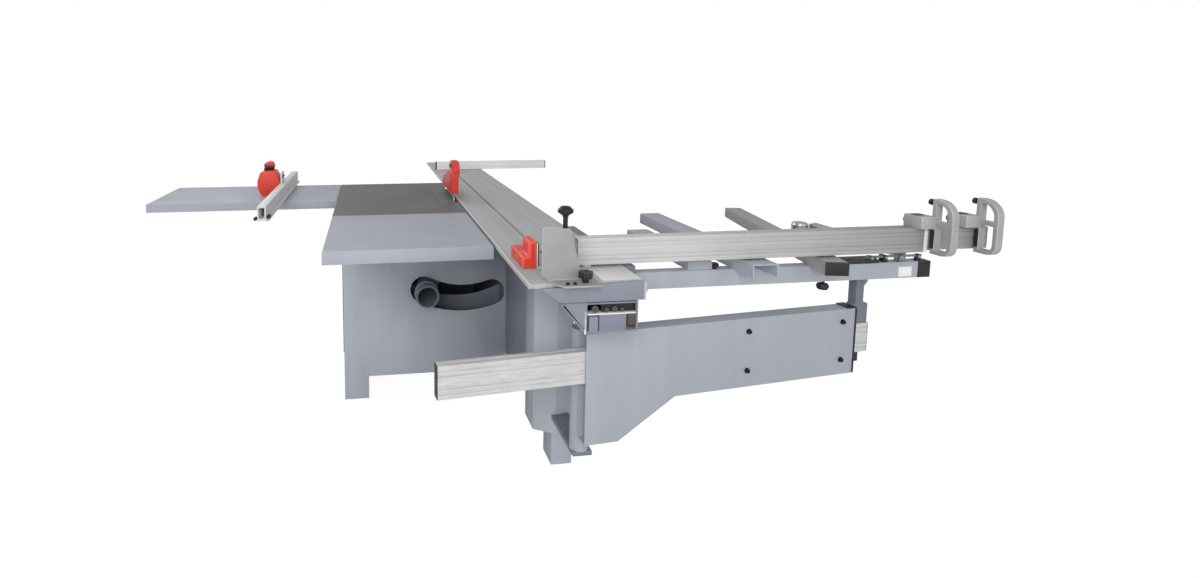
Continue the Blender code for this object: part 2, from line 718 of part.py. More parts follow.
# ---------------------------------------------------------------- rip fence
def rip_fence():
    rail_z = RIP_RAIL_Z
    rail = rod("rip_rail", "X", (WING_LEFT + 0.015, RIP_RAIL_Y, rail_z), -0.030, RIP_RAIL_RADIUS, 24)
    brackets = []
    arm_top = rail_z + 0.005
    for x, back in ((-0.300, TABLE_FAR), (-0.610, TABLE_FAR), (WING_LEFT + 0.070, WING_FAR)):
        plate_top = TABLE_HEIGHT - 0.004
        plate_low = (x, back + GAP, rail_z - 0.020)
        brackets.append(box("plate", plate_low, (x + 0.030, back + 0.010, plate_top)))
        arm_low = (x + 0.002, back + 0.004, rail_z - 0.018)
        brackets.append(box("arm", arm_low, (x + 0.028, RIP_RAIL_Y, arm_top)))
    finish(rail, FRAME, STEEL, joined=brackets)

    right = RIP_FENCE_X - GAP
    left = right - RIP_HEAD_WIDTH
    foot = TABLE_HEIGHT + GAP
    rail_top = rail_z + RIP_RAIL_RADIUS
    outline = [
        (left + 0.030, foot),
        (right - 0.036, foot),
        (right - 0.006, foot + 0.040),
        (right, foot + 0.062),
        (right, foot + 0.090),
        (right - 0.024, HEAD_TOP - 0.006),
        (right - 0.036, HEAD_TOP),
        (left + 0.030, HEAD_TOP),
        (left + 0.016, HEAD_TOP - 0.010),
        (left, foot + 0.086),
        (left, foot + 0.050),
        (left + 0.012, foot + 0.018),
    ]
    head_far = RIP_HEAD_Y + RIP_HEAD_LENGTH
    head = slab("rip_head", "XZ", outline, RIP_HEAD_Y, head_far)
    link = box(
        "link",
        (left + 0.032, head_far - 0.020, foot + 0.0005),
        (right - 0.034, RIP_RAIL_Y + 0.020, foot + 0.040),
    )
    saddle = box(
        "saddle",
        (left + 0.034, RIP_RAIL_Y - 0.040, rail_top + GAP),
        (right - 0.036, RIP_RAIL_Y + 0.040, foot + 0.030),
    )
    finish(head, RIP, RED, joined=[link, saddle])

    lever_z = HEAD_TOP + GAP + LEVER_RADIUS
    middle = (left + right) / 2
    hub = rod("rip_lever", "X", (middle - 0.030, LEVER_Y, lever_z), middle + 0.030, LEVER_RADIUS, 20)
    half = 0.012
    grip_low = (middle - half, LEVER_Y - half + 0.001, lever_z)
    grip = box("grip", grip_low, (middle + half, LEVER_Y + half - 0.001, lever_z + 0.062))
    finish(hub, LEVER, RED, joined=[grip])

    base = TABLE_HEIGHT + 0.004
    high = base + RIP_FENCE_HEIGHT
    x0 = RIP_FENCE_X
    x1 = x0 + RIP_FENCE_WIDTH
    section = [
        (x0, base),
        (x1 + RIP_FOOT, base),
        (x1 + RIP_FOOT, base + RIP_FOOT_THICK),
        (x1, base + RIP_FOOT_THICK + 0.004),
        (x1, high),
        (x0, high),
    ]
    wall = RIP_FENCE_WALL
    hole = rectangle((x0 + wall, base + RIP_FOOT_THICK), (x1 - wall, high - wall))
    far = RIP_FENCE_NEAR + RIP_FENCE_LENGTH
    profile = slab("rip_fence", "XZ", section, RIP_FENCE_NEAR, far, [hole])
    finish(profile, RIP_FENCE, ALU)


# ---------------------------------------------------------------- saw unit
def tilting_unit():
    for name, y in (("trunnion_near", BRACKET_NEAR), ("trunnion_far", BRACKET_FAR)):
        high = (BLADE_X - 0.010, y + BRACKET_THICK, TABLE_UNDER - GAP)
        bracket = box(name, (CARRIER_LEFT - 0.020, y, 0.660), high)
        finish(bracket, FRAME, IRON)

    near = BRACKET_NEAR + BRACKET_THICK + GAP
    far = BRACKET_FAR - GAP
    side_low = (CARRIER_LEFT, near + 0.001, CARRIER_UNDER)
    side = box("saw_carrier", side_low, (CARRIER_FACE, far - 0.001, 0.860))
    ends = [
        box("near_end", (CARRIER_LEFT + 0.001, near, 0.661), (BLADE_X - 0.010, near + BRACKET_THICK, 0.840)),
        box("far_end", (CARRIER_LEFT + 0.001, far - BRACKET_THICK, 0.661), (BLADE_X - 0.010, far, 0.840)),
    ]
    half = MOTOR_RADIUS + 0.010
    window = box(
        "window",
        (CARRIER_LEFT - 0.010, BLADE_Y - half, MOTOR_Z - BLADE_RISE - half),
        (CARRIER_FACE + 0.010, BLADE_Y + half, MOTOR_Z + half),
    )
    duct_notch = box(
        "duct_notch",
        (CARRIER_LEFT - 0.010, near - 0.010, 0.300),
        (CARRIER_FACE + 0.010, near + 0.080, 0.6605),
    )
    finish(side, TILTING, PAINT_DARK, joined=ends, cut=[window, duct_notch])

    wall = HOOD_WALL
    hood = box("dust_hood", HOOD_LOW, HOOD_HIGH)
    duct_at = duct_run()[-1]
    shelf = box(
        "shelf",
        (CARRIER_FACE + GAP, HOOD_HIGH[1] - 0.014, HOOD_LOW[2] + 0.010),
        (HOOD_LOW[0] + 0.001, HOOD_HIGH[1] - 0.001, HOOD_LOW[2] + 0.034),
    )
    inside = box(
        "inside",
        (HOOD_LOW[0] + wall, HOOD_LOW[1] + wall, HOOD_LOW[2] + wall),
        (HOOD_HIGH[0] - wall, HOOD_HIGH[1] - wall, HOOD_HIGH[2] + 0.020),
    )
    mouth_at = (duct_at[0], HOOD_LOW[1] - 0.010, duct_at[2])
    mouth = rod("mouth", "Y", mouth_at, HOOD_LOW[1] + 0.010, PORT_RADIUS - 0.004)
    finish(hood, TILTING, PAINT_DARK, joined=[shelf], cut=[inside, mouth])

    outer = pipe("dust_duct", duct_run(), PORT_RADIUS)
    inner_run = duct_run()
    inner_run[0] = inner_run[0] - Vector((0.0, 0.020, 0.0))
    inner_run[-1] = inner_run[-1] + Vector((0.0, 0.020, 0.0))
    bore = pipe("bore", inner_run, PORT_RADIUS - PORT_WALL)
    finish(outer, TILTING, BLACK, cut=[bore])

    unit = rod(
        "scoring_unit",
        "X",
        (CARRIER_FACE + GAP, SCORING_Y, SCORING_Z),
        BLADE_X - 0.0062,
        0.022,
        24,
    )
    finish(unit, TILTING, PAINT_DARK)
    half_disc = 0.0014
    profile = [
        (0.0, 0.005),
        (0.015, 0.005),
        (0.015, half_disc),
        (SCORING_RADIUS, half_disc),
        (SCORING_RADIUS, -half_disc),
        (0.015, -half_disc),
        (0.015, -0.0059),
        (0.0, -0.0059),
    ]
    finish(turned("scoring_blade", "X", (BLADE_X, SCORING_Y, SCORING_Z), profile, 36), SCORING, STEEL)


def duct_run():
    """Middle line of the dust duct, from its mouth outside the cabinet to the hood."""
    port_x = BLADE_X - PORT_SWING * math.sin(PORT_ANGLE)
    port_z = TABLE_HEIGHT - PORT_SWING * math.cos(PORT_ANGLE)
    start = Vector((port_x, PORT_NEAR, port_z))
    end = Vector((BLADE_X - 0.030, HOOD_LOW[1] - GAP, (HOOD_LOW[2] + HOOD_HIGH[2]) / 2))
    bend_from = Vector((port_x, CABINET_NEAR + 0.010, port_z))
    bend_to = Vector((end.x, end.y - 0.030, end.z))
    run = [start]
    steps = 8
    for i in range(steps + 1):
        t = i / steps
        ease = t * t * (3 - 2 * t)
        run.append(
            Vector(
                (
                    bend_from.x + (bend_to.x - bend_from.x) * ease,
                    bend_from.y + (bend_to.y - bend_from.y) * t,
                    bend_from.z + (bend_to.z - bend_from.z) * ease,
                )
            )
        )
    run.append(end)
    return run


def belt_ring(offset):
    """Racetrack round both pulleys, offset from their grooves."""
    top = (BLADE_Y, ARBOR_Z)
    under = (BLADE_Y, MOTOR_Z)
    big = MOTOR_PULLEY_RADIUS + offset
    small = ARBOR_PULLEY_RADIUS + offset
    lean = math.asin((big - small) / MOTOR_DROP)
    upper = arc(top, small, lean, math.pi - lean, 12)
    lower = arc(under, big, math.pi - lean, 2 * math.pi + lean, 16)
    return upper + lower


def lifting_unit():
    face = CARRIER_FACE + GAP
    plate_low = (face, BLADE_Y - 0.160, MOTOR_Z - 0.060)
    plate_high = (face + BRACKET_THICK, BLADE_Y + 0.160, ARBOR_Z - 0.040)
    plate = box("arbor_bracket", plate_low, plate_high)
    housing_right = BLADE_X - 0.015
    pad_near = BLADE_Y - BLADE_RADIUS - 0.035
    joined = [
        box(
            "web",
            (face + 0.002, BLADE_Y + 0.090, ARBOR_Z - 0.080),
            (BLADE_X - 0.085, BLADE_Y + 0.120, ARBOR_Z + 0.015),
        ),
        box(
            "arm",
            (BLADE_X - 0.115, BLADE_Y, ARBOR_Z - 0.015),
            (BLADE_X - 0.084, BLADE_Y + 0.119, ARBOR_Z + 0.014),
        ),
        rod("housing", "X", (BLADE_X - 0.115, BLADE_Y, ARBOR_Z), housing_right, HOUSING_RADIUS, 24),
        box(
            "reach",
            (BLADE_X - 0.045, pad_near, ARBOR_Z - 0.040),
            (BLADE_X - 0.020, BLADE_Y - 0.001, ARBOR_Z - 0.015),
        ),
        box(
            "pad",
            (BLADE_X - 0.044, pad_near + 0.001, ARBOR_Z - 0.039),
            (BLADE_X - KNIFE_THICK / 2 - GAP, pad_near + 0.027, ARBOR_Z - 0.016),
        ),
    ]
    cut = [
        rod("shaft_bore", "X", (BLADE_X - 0.130, BLADE_Y, ARBOR_Z), BLADE_X, SHAFT_RADIUS + RUN, 24),
        rod("motor_bore", "X", (face - 0.010, BLADE_Y, MOTOR_Z), face + 0.030, 0.030, 24),
    ]
    finish(plate, LIFTING, IRON, joined=joined, cut=cut)

    motor_right = face - GAP
    profile = [
        (0.0, motor_right),
        (MOTOR_RADIUS - 0.010, motor_right),
        (MOTOR_RADIUS, motor_right - 0.012),
        (MOTOR_RADIUS, motor_right - MOTOR_LENGTH + 0.020),
        (MOTOR_RADIUS - 0.014, motor_right - MOTOR_LENGTH),
        (0.0, motor_right - MOTOR_LENGTH),
    ]
    finish(turned("saw_motor", "X", (0.0, BLADE_Y, MOTOR_Z), profile, 32), LIFTING, PAINT_DARK)

    low = PULLEY_X - BELT_WIDTH / 2
    belt = slab(
        "drive_belt", "YZ", belt_ring(GAP + BELT_THICK), low, low + BELT_WIDTH, [belt_ring(GAP)]
    )
    finish(belt, LIFTING, RUBBER)

    pulley_right = low + BELT_WIDTH + 0.001
    pulley_at = (low - 0.001, BLADE_Y, MOTOR_Z)
    pulley = rod("motor_pulley", "X", pulley_at, pulley_right, MOTOR_PULLEY_RADIUS, 32)
    stub = rod("stub", "X", (motor_right + GAP, BLADE_Y, MOTOR_Z), low + 0.004, 0.012, 20)
    finish(pulley, MOTOR_ROTOR, STEEL, joined=[stub])

    seat = BLADE_THICK / 2 + GAP
    profile = [
        (0.0, 0.0170),
        (SHAFT_RADIUS - 0.001, 0.0170),
        (SHAFT_RADIUS - 0.001, seat),
        (BORE_RADIUS - GAP, seat),
        (BORE_RADIUS - GAP, -seat),
        (FLANGE_RADIUS, -seat),
        (FLANGE_RADIUS, -0.0138),
        (SHAFT_RADIUS, -0.0138),
        (SHAFT_RADIUS, PULLEY_X + BELT_WIDTH / 2 + 0.001 - BLADE_X),
        (ARBOR_PULLEY_RADIUS, PULLEY_X + BELT_WIDTH / 2 + 0.001 - BLADE_X),
        (ARBOR_PULLEY_RADIUS, PULLEY_X - BELT_WIDTH / 2 - 0.001 - BLADE_X),
        (0.0, PULLEY_X - BELT_WIDTH / 2 - 0.001 - BLADE_X),
    ]
    finish(turned("arbor_shaft", "X", (BLADE_X, BLADE_Y, ARBOR_Z), profile, 24), ROTOR, STEEL)
    hole = arc((BLADE_Y, ARBOR_Z), BORE_RADIUS + 0.0002, 0.0, 2 * math.pi, 24)[:-1]
    rim = arc((BLADE_Y, ARBOR_Z), BLADE_RADIUS, 0.0, 2 * math.pi, 60)[:-1]
    disc = slab("saw_blade", "YZ", rim, BLADE_X - BLADE_THICK / 2, BLADE_X + BLADE_THICK / 2, [hole])
    finish(disc, ROTOR, STEEL)
    nut = rod("blade_nut", "X", (BLADE_X + seat, BLADE_Y, ARBOR_Z), BLADE_X + 0.014, 0.018, 6)
    thread = rod("thread", "X", (BLADE_X, BLADE_Y, ARBOR_Z), BLADE_X + 0.030, SHAFT_RADIUS - 0.0005, 24)
    finish(nut, ROTOR, STEEL, cut=[thread])

    inner = BLADE_RADIUS + 0.008
    outer = inner + 0.032
    start = math.pi + math.radians(16.0)
    stop = math.pi - math.radians(50.0)
    centre = (BLADE_Y, ARBOR_Z)
    band = arc(centre, outer, start, stop, 14) + arc(centre, inner, stop, start, 12)
    knife = slab("riving_knife", "YZ", band, BLADE_X - KNIFE_THICK / 2, BLADE_X + KNIFE_THICK / 2)
    finish(knife, LIFTING, STEEL)


def guard():
    low = TABLE_HEIGHT + GUARD_FLOAT
    high = low + GUARD_HEIGHT
    near = BLADE_Y - 0.210
    far = near + GUARD_LENGTH
    left = BLADE_X - GUARD_WIDTH / 2 + 0.003
    right = left + GUARD_WIDTH

    def outline(inset, floor):
        return [
            (near + inset, floor),
            (far - inset, floor),
            (far - inset, low + GUARD_TAIL - inset / 2),
            (near + 0.130, high - 0.060 - inset),
            (near + 0.108, high - inset),
            (near + 0.035, high - inset),
            (near + inset, high - 0.035),
        ]

    shell = slab("blade_guard", "YZ", outline(0.0, low), left, right)
    boss_y = BLADE_Y - (BLADE_RADIUS + 0.024) * math.cos(math.radians(40.0))
    boss_z = ARBOR_Z + (BLADE_RADIUS + 0.024) * math.sin(math.radians(40.0))
    boss = rod("boss", "X", (left + 0.001, boss_y, boss_z), BLADE_X - KNIFE_THICK / 2 - GAP, 0.007, 16)
    hollow = slab("hollow", "YZ", outline(GUARD_WALL, low - 0.020), left + GUARD_WALL, right - GUARD_WALL)
    PARTS.objects.link(shell)
    shell.data.materials.append(material(RED))
    combine(shell, GUARD, "DIFFERENCE", [hollow])
    combine(shell, GUARD, "UNION", [boss])
    place(shell, GUARD)


# ---------------------------------------------------------------- beam, column and hinge post
def carriage_section(inset):
    """Outline of the carriage profile, with its blade-side edge cut away for the tilted blade."""
    return [
        (inset, TABLE_HEIGHT - inset),
        (inset, 0.886 + inset),
        (0.040 + inset, 0.886 + inset / 2),
        (0.095 + inset, CARRIAGE_UNDER + inset),
        (CARRIAGE_WIDTH - inset, CARRIAGE_UNDER + inset),
        (CARRIAGE_WIDTH - inset, TABLE_HEIGHT - inset),
    ]


def beam_section(inset):
    slope = 0.082
    left = 0.100
    return [
        (left + 1.6 * inset, BEAM_TOP - inset),
        (left + slope + 0.6 * inset, BEAM_UNDER + inset),
        (BEAM_RIGHT - inset, BEAM_UNDER + inset),
        (BEAM_RIGHT - inset, BEAM_TOP - inset),
    ]


def stand():
    length = CARRIAGE_LENGTH - 2 * BEAM_END_INSET
    end = BEAM_END_INSET + length
    hole = beam_section(BEAM_WALL)
    beam = slab("slide_beam", "XZ", beam_section(0.0), BEAM_END_INSET, end, [hole])
    ways = [
        box(
            "way",
            (x, BEAM_END_INSET + 0.060, BEAM_TOP - 0.001),
            (x + WAY_WIDTH, end - 0.060, CARRIAGE_UNDER - WAY_PLAY),
        )
        for x in (0.150, BEAM_RIGHT - 0.015 - WAY_WIDTH)
    ]
    finish(beam, FRAME, ALU, joined=ways)

    right = COLUMN_LEFT + COLUMN_WIDTH
    far = COLUMN_NEAR + COLUMN_DEPTH
    ridge = COLUMN_LEFT + 0.078
    section = [
        (COLUMN_LEFT, COLUMN_NEAR + 0.045),
        (ridge, COLUMN_NEAR),
        (right - 0.012, COLUMN_NEAR + 0.012),
        (right, COLUMN_NEAR + 0.040),
        (right, far),
        (COLUMN_LEFT, far),
    ]
    column = slab("column", "XY", section, COLUMN_FOOT_HEIGHT, BEAM_UNDER - GAP)
    foot_low = (COLUMN_LEFT + 0.074, COLUMN_NEAR + 0.036, 0.0)
    foot = box("foot", foot_low, (right - 0.001, far - 0.020, COLUMN_FOOT_HEIGHT + 0.010))
    finish(column, FRAME, PAINT, joined=[foot])

    brace = [
        (far + GAP, 0.200),
        (CABINET_NEAR - GAP, 0.300),
        (CABINET_NEAR - GAP, BEAM_UNDER - GAP),
        (far + GAP, BEAM_UNDER - GAP),
    ]
    finish(slab("column_brace", "YZ", brace, CABINET_RIGHT - 0.014, CABINET_RIGHT - 0.008), FRAME, PAINT_DARK)

    x, y = ARM_PIVOT
    foot_top = SLEEVE_UNDER - GAP
    post = rod("hinge_post", "Z", (x, y, foot_top - 0.008), BEAM_UNDER - GAP, ARM_POST_RADIUS, 32)
    shoe = slab(
        "shoe",
        "XY",
        [
            (x - 0.032, y - 0.030),
            (x + 0.038, y - 0.030),
            (x + 0.038, COLUMN_NEAR + 0.010),
            (ridge + 0.012, COLUMN_NEAR - GAP),
            (x - 0.032, COLUMN_NEAR - GAP),
        ],
        foot_top - 0.016,
        foot_top,
    )
    column_clear = slab("column_clear", "XY", section, foot_top - 0.040, foot_top + 0.040)
    finish(post, FRAME, PAINT, joined=[shoe], cut=[column_clear])


# ---------------------------------------------------------------- swing arm
def arm_slab(name, outline, low, high, holes=()):
    """A slab in the arm's own upright plane: outline is (along the arm, height)."""
    made = slab(name, "XZ", outline, low, high, holes)
    spot = Vector((0.0, (low + high) / 2, 0.0))
    made.location = Vector(ARM_AT) + Matrix.Rotation(ARM_ANGLE, 3, "Z") @ spot
    made.rotation_euler = (math.radians(90.0), 0.0, ARM_ANGLE)
    return made


def arm_box(name, low, high):
    """A box along the arm: corners are (along, across, height)."""
    made = box(name, low, high)
    made.location = Vector(ARM_AT) + Matrix.Rotation(ARM_ANGLE, 3, "Z") @ made.location
    made.rotation_euler = (0.0, 0.0, ARM_ANGLE)
    return made


def arm_rod(name, a, z, n_low, n_high, radius):
    made = rod(name, "Y", (a, n_low, z), n_high, radius, 16)
    made.location = Vector(ARM_AT) + Matrix.Rotation(ARM_ANGLE, 3, "Z") @ made.location
    made.rotation_euler = (math.radians(-90.0), 0.0, ARM_ANGLE)
    return made


def swing_arm():
    near = -ARM_OFFSET - ARM_THICK / 2
    far = near + ARM_THICK
    knee = 0.313
    heel = 0.100
    outline = [
        (ARM_START, ARM_ROOT_BOTTOM),
        (heel, ARM_ROOT_BOTTOM),
        (knee, ARM_TIP_BOTTOM - 0.006),
        (ARM_END, ARM_TIP_BOTTOM),
        (ARM_END, ARM_TOP),
        (ARM_START, ARM_TOP),
    ]
    housing = arm_slab("swing_arm", outline, near, far)
    inside = [
        (ARM_START - 0.020, ARM_ROOT_BOTTOM + ARM_WALL),
        (heel - 0.001, ARM_ROOT_BOTTOM + ARM_WALL),
        (knee - 0.001, ARM_TIP_BOTTOM - 0.006 + ARM_WALL),
        (ARM_END + 0.020, ARM_TIP_BOTTOM + ARM_WALL),
        (ARM_END + 0.020, ARM_TOP - ARM_WALL),
        (ARM_START - 0.020, ARM_TOP - ARM_WALL),
    ]
    hollow = arm_slab("hollow", inside, near + ARM_WALL, far - ARM_WALL)
    web_low = SLEEVE_UNDER + 0.080
    web = arm_box("web", (ARM_START + 0.001, far - 0.003, web_low), (0.045, -0.010, ARM_TOP - 0.030))
    sleeve = rod("sleeve", "Z", (*ARM_PIVOT, SLEEVE_UNDER), ARM_TOP - 0.012, ARM_POST_RADIUS + 0.011, 32)
    bearings = []
    bar_top = BAR_BOTTOM + BAR_HEIGHT
    for a in ARM_BEARINGS:
        for z in (bar_top + GAP + BEARING_RADIUS, BAR_BOTTOM - GAP - BEARING_RADIUS):
            bearings.append(arm_rod("bearing", a, z, near + 0.001, far - 0.001, BEARING_RADIUS))
    hole_at = (*ARM_PIVOT, SLEEVE_UNDER - 0.050)
    post_hole = rod("post_hole", "Z", hole_at, ARM_TOP + 0.050, ARM_POST_RADIUS + RUN, 32)
    PARTS.objects.link(housing)
    housing.data.materials.append(material(PAINT))
    combine(housing, ARM, "DIFFERENCE", [hollow])
    combine(housing, ARM, "UNION", [web, sleeve, *bearings])
    post_hole.name = "swing_arm_bore"
    combine(housing, ARM, "DIFFERENCE", [post_hole])
    place(housing, ARM)

    low = -ARM_OFFSET - BAR_THICK / 2
    high = low + BAR_THICK
    rim = rectangle((BAR_START, BAR_BOTTOM), (BAR_END, bar_top))
    bar = arm_slab("telescopic_bar", rim, low, high)
    core = arm_box(
        "core",
        (BAR_START - 0.010, low + BAR_WALL, BAR_BOTTOM + BAR_WALL),
        (BAR_END + 0.010, high - BAR_WALL, bar_top - BAR_WALL),
    )
    finish(bar, BAR, ALU, cut=[core])

    half = POST_SIZE / 2
    rim = half + 0.004
    post_top = RAIL_UNDER - RUN
    post = arm_box(
        "support_post",
        (POST_AT - half, -ARM_OFFSET - half, ARM_TOP + 0.006),
        (POST_AT + half, -ARM_OFFSET + half, post_top - 0.001),
    )
    reach = BAR_END - 0.002
    joined = [
        arm_box(
            "clamp",
            (ARM_END + 0.004, low + 0.004, bar_top + GAP),
            (reach, high - 0.004, ARM_TOP + 0.010),
        ),
        arm_box(
            "cap",
            (POST_AT - rim, -ARM_OFFSET - rim, post_top - 0.008),
            (POST_AT + rim, -ARM_OFFSET + rim, post_top),
        ),
    ]
    finish(post, BAR, PAINT, joined=joined)


# ---------------------------------------------------------------- carriage and outrigger
def carriage():
    far = CARRIAGE_LENGTH
    start = END_PLATE + GAP
    top = slab(
        "carriage_top",
        "XZ",
        carriage_section(0.0),
        start,
        far,
        [rectangle((0.175, CARRIAGE_UNDER + 0.006), (CARRIAGE_WIDTH - 0.006, TABLE_HEIGHT - 0.010))],
    )
    groove = box(
        "groove",
        (GROOVE_X - GROOVE_WIDTH / 2, start - 0.010, TABLE_HEIGHT - GROOVE_DEPTH),
        (GROOVE_X + GROOVE_WIDTH / 2, far + 0.010, TABLE_HEIGHT + 0.010),
    )
    finish(top, CARRIAGE, ALU, cut=[groove])
    end = slab("carriage_end_plate", "XZ", carriage_section(0.0005)[2:], 0.0, END_PLATE)
    finish(end, CARRIAGE, PAINT)

    base = TABLE_HEIGHT + GAP
    face = [
        (0.046, base + 0.020),
        (0.070, base),
        (0.170, base),
        (0.164, base + 0.045),
        (0.134, base + 0.160),
        (0.060, base + 0.170),
        (0.047, base + 0.164),
    ]
    plate = slab("clamp_plate", "XZ", face, 0.030, 0.034)
    foot_outline = [(0.072, 0.033), (0.072, -0.006), (0.100, Y_MIN), (0.215, Y_MIN), (0.215, 0.033)]
    foot = slab("foot", "XY", foot_outline, base, base + 0.004)
    finish(plate, CARRIAGE, CAST, joined=[foot])
    profile = [
        (0.0, base + 0.228),
        (0.014, base + 0.226),
        (0.024, base + 0.216),
        (0.024, base + 0.208),
        (0.010, base + 0.198),
        (0.0075, base + 0.190),
        (0.0075, base + 0.012),
        (0.018, base + 0.010),
        (0.018, base),
        (0.0, base),
    ]
    finish(turned("push_handle", "Z", (0.126, 0.056, 0.0), profile, 24), CARRIAGE, BLACK)
    knob = base + 0.004 + GAP
    profile = [
        (0.0, knob + 0.034),
        (0.012, knob + 0.034),
        (0.023, knob + 0.028),
        (0.023, knob + 0.016),
        (0.011, knob + 0.010),
        (0.010, knob),
        (0.0, knob),
    ]
    finish(turned("star_knob", "Z", (STAR_AT[0], STAR_AT[1], 0.0), profile, 20), STAR, BLACK)

    near = SHOE_NEAR
    strip = box("edging_shoe", (0.020, near - 0.002, base), (0.160, near + 0.162, base + 0.006))
    key = box(
        "key",
        (GROOVE_X - GROOVE_WIDTH / 2 + GAP, near + 0.012, TABLE_HEIGHT - GROOVE_DEPTH + GAP),
        (GROOVE_X + GROOVE_WIDTH / 2 - GAP, near + 0.152, base + 0.003),
    )
    tall = [
        (near, base + 0.003),
        (near + 0.082, base + 0.003),
        (near + 0.082, base + 0.030),
        (near + 0.048, base + 0.082),
        (near + 0.038, base + 0.092),
        (near + 0.012, base + 0.092),
        (near + 0.004, base + 0.084),
    ]
    low = [
        (near + 0.001, base + 0.003),
        (near + 0.160, base + 0.003),
        (near + 0.160, base + 0.024),
        (near + 0.032, base + 0.042),
        (near + 0.002, base + 0.040),
    ]
    blocks = [slab("tall", "YZ", tall, 0.041, 0.070), slab("low", "YZ", low, 0.0205, 0.042)]
    finish(strip, SHOE, RED, joined=[key, *blocks])

    bar_far = MITRE_NEAR + MITRE_WIDTH
    bar = box("mitre_bar", (0.022, MITRE_NEAR, base), (0.860, bar_far, base + MITRE_HEIGHT))
    key = box(
        "key",
        (GROOVE_X - GROOVE_WIDTH / 2 + GAP, MITRE_NEAR + 0.004, TABLE_HEIGHT - GROOVE_DEPTH + GAP),
        (GROOVE_X + GROOVE_WIDTH / 2 - GAP, bar_far - 0.004, base + 0.004),
    )
    finish(bar, MITRE, ALU, joined=[key])


def outrigger():
    side = CARRIAGE_WIDTH + GAP
    wall = RAIL_WALL
    tie_right = TIE_LEFT + TIE_WIDTH
    ties = [
        box(
            "tie",
            (TIE_LEFT, RAIL_Y + 0.004, RAIL_TOP + GAP),
            (tie_right, INNER_RAIL_Y + RAIL_DEPTH, RAIL_TOP + TIE_THICK),
        ),
        box(
            "seat",
            (TIE_LEFT + 0.010, RAIL_Y + 0.008, RAIL_TOP - 0.002),
            (tie_right - 0.010, RAIL_Y + RAIL_DEPTH - 0.008, RAIL_TOP + 0.006),
        ),
    ]
    for name, y, end, bearing_y in (
        ("near_rail", RAIL_Y, RAIL_END, RAIL_Y + 0.024),
        ("inner_rail", INNER_RAIL_Y, INNER_RAIL_END, INNER_RAIL_Y + 0.002),
    ):
        hole = rectangle((y + wall, RAIL_UNDER + wall), (y + RAIL_DEPTH - wall, RAIL_TOP - wall))
        rail = slab(name, "YZ", rectangle((y, RAIL_UNDER), (y + RAIL_DEPTH, RAIL_TOP)), side, end, [hole])
        lug = box(
            "lug",
            (ROLLER_X - 0.020, bearing_y, RAIL_TOP - 0.002),
            (ROLLER_X + 0.020, bearing_y + 0.006, BAR_TOP_Z - 0.006),
        )
        bore_at = (ROLLER_X, bearing_y - 0.005, ROLLER_Z)
        bore = rod("bore", "Y", bore_at, bearing_y + 0.011, ROLLER_PIN + RUN, 20)
        finish(rail, CARRIAGE, PAINT, joined=[lug, *ties], cut=[bore])
        ties = []

    clamp = box("clamp_bar", (side, 0.180, RAIL_TOP + GAP), (0.415, 0.800, TABLE_HEIGHT - 0.007))
    finish(clamp, CARRIAGE, PAINT_DARK)

    for name, middle, width, length, angle, spec in (
        ("cross_bar", CROSS_BAR_AT, CROSS_BAR_WIDTH, CROSS_BAR_LENGTH, CROSS_BAR_ANGLE, PAINT),
        ("angled_bar", ANGLED_BAR_AT, ANGLED_BAR_WIDTH, ANGLED_BAR_LENGTH, ANGLED_BAR_ANGLE, ALU),
    ):
        bar = box(
            name,
            (middle[0] - width / 2, middle[1] - length / 2, RAIL_TOP + GAP),
            (middle[0] + width / 2, middle[1] + length / 2, BAR_TOP_Z),
        )
        turn_about(bar, middle, angle)
        finish(bar, CARRIAGE, spec)

    near = RAIL_Y + 0.024
    far = INNER_RAIL_Y + 0.008
    profile = [
        (0.0, far),
        (ROLLER_PIN, far),
        (ROLLER_PIN, INNER_RAIL_Y - 0.004),
        (ROLLER_RADIUS, INNER_RAIL_Y - 0.004),
        (ROLLER_RADIUS, near + 0.012),
        (ROLLER_PIN, near + 0.012),
        (ROLLER_PIN, near),
        (0.0, near),
    ]
    finish(turned("support_roller", "Y", (ROLLER_X, 0.0, ROLLER_Z), profile, 24), ROLLER, STEEL)


def turn_about(piece, centre, angle):
    """Turn a box about an upright line through centre."""
    piece.rotation_euler = (0.0, 0.0, angle)
    pivot = Vector((*centre, 0.0))
    piece.location = pivot + Matrix.Rotation(angle, 3, "Z") @ (piece.location - pivot)


def flip_stop(name, owner, left):
    """Flip-over stop: a cast frame with two windows, turning on a pin in its slider."""
    back = FENCE_Y - 0.003
    nose = back - STOP_REACH
    low = TABLE_HEIGHT + 0.0045
    high = low + STOP_HEIGHT
    bar = STOP_BAR
    round_top = 0.060
    round_low = 0.035
    middle = FLIP_Z - 0.005
    top_arc = arc((nose + round_top, high - round_top), round_top, math.pi / 2, math.pi, 7)
    low_arc = arc((nose + round_low, low + round_low), round_low, math.pi, 1.5 * math.pi, 5)
    outline = [(back, low), (back, high), *top_arc, *low_arc]
    inner_top = arc((nose + round_top, high - round_top), round_top - bar, math.pi / 2, math.pi, 7)
    inner_low = arc((nose + round_low, low + round_low), round_low - bar, math.pi, 1.5 * math.pi, 5)
    post = back - bar
    over = middle + bar / 2
    under = middle - bar / 2
    upper = [(post, over), (post, high - bar), *inner_top, (nose + bar, over)]
    lower = [(nose + bar, under), *inner_low, (post, low + bar), (post, under)]
    stop = slab(name, "YZ", outline, left, left + STOP_THICK, [upper, lower])
    pin = rod("pin", "X", (left - SLIDER_LENGTH * 0.5, FLIP_Y, FLIP_Z), left + 0.004, STOP_PIN, 16)
    finish(stop, owner, CAST, joined=[pin])


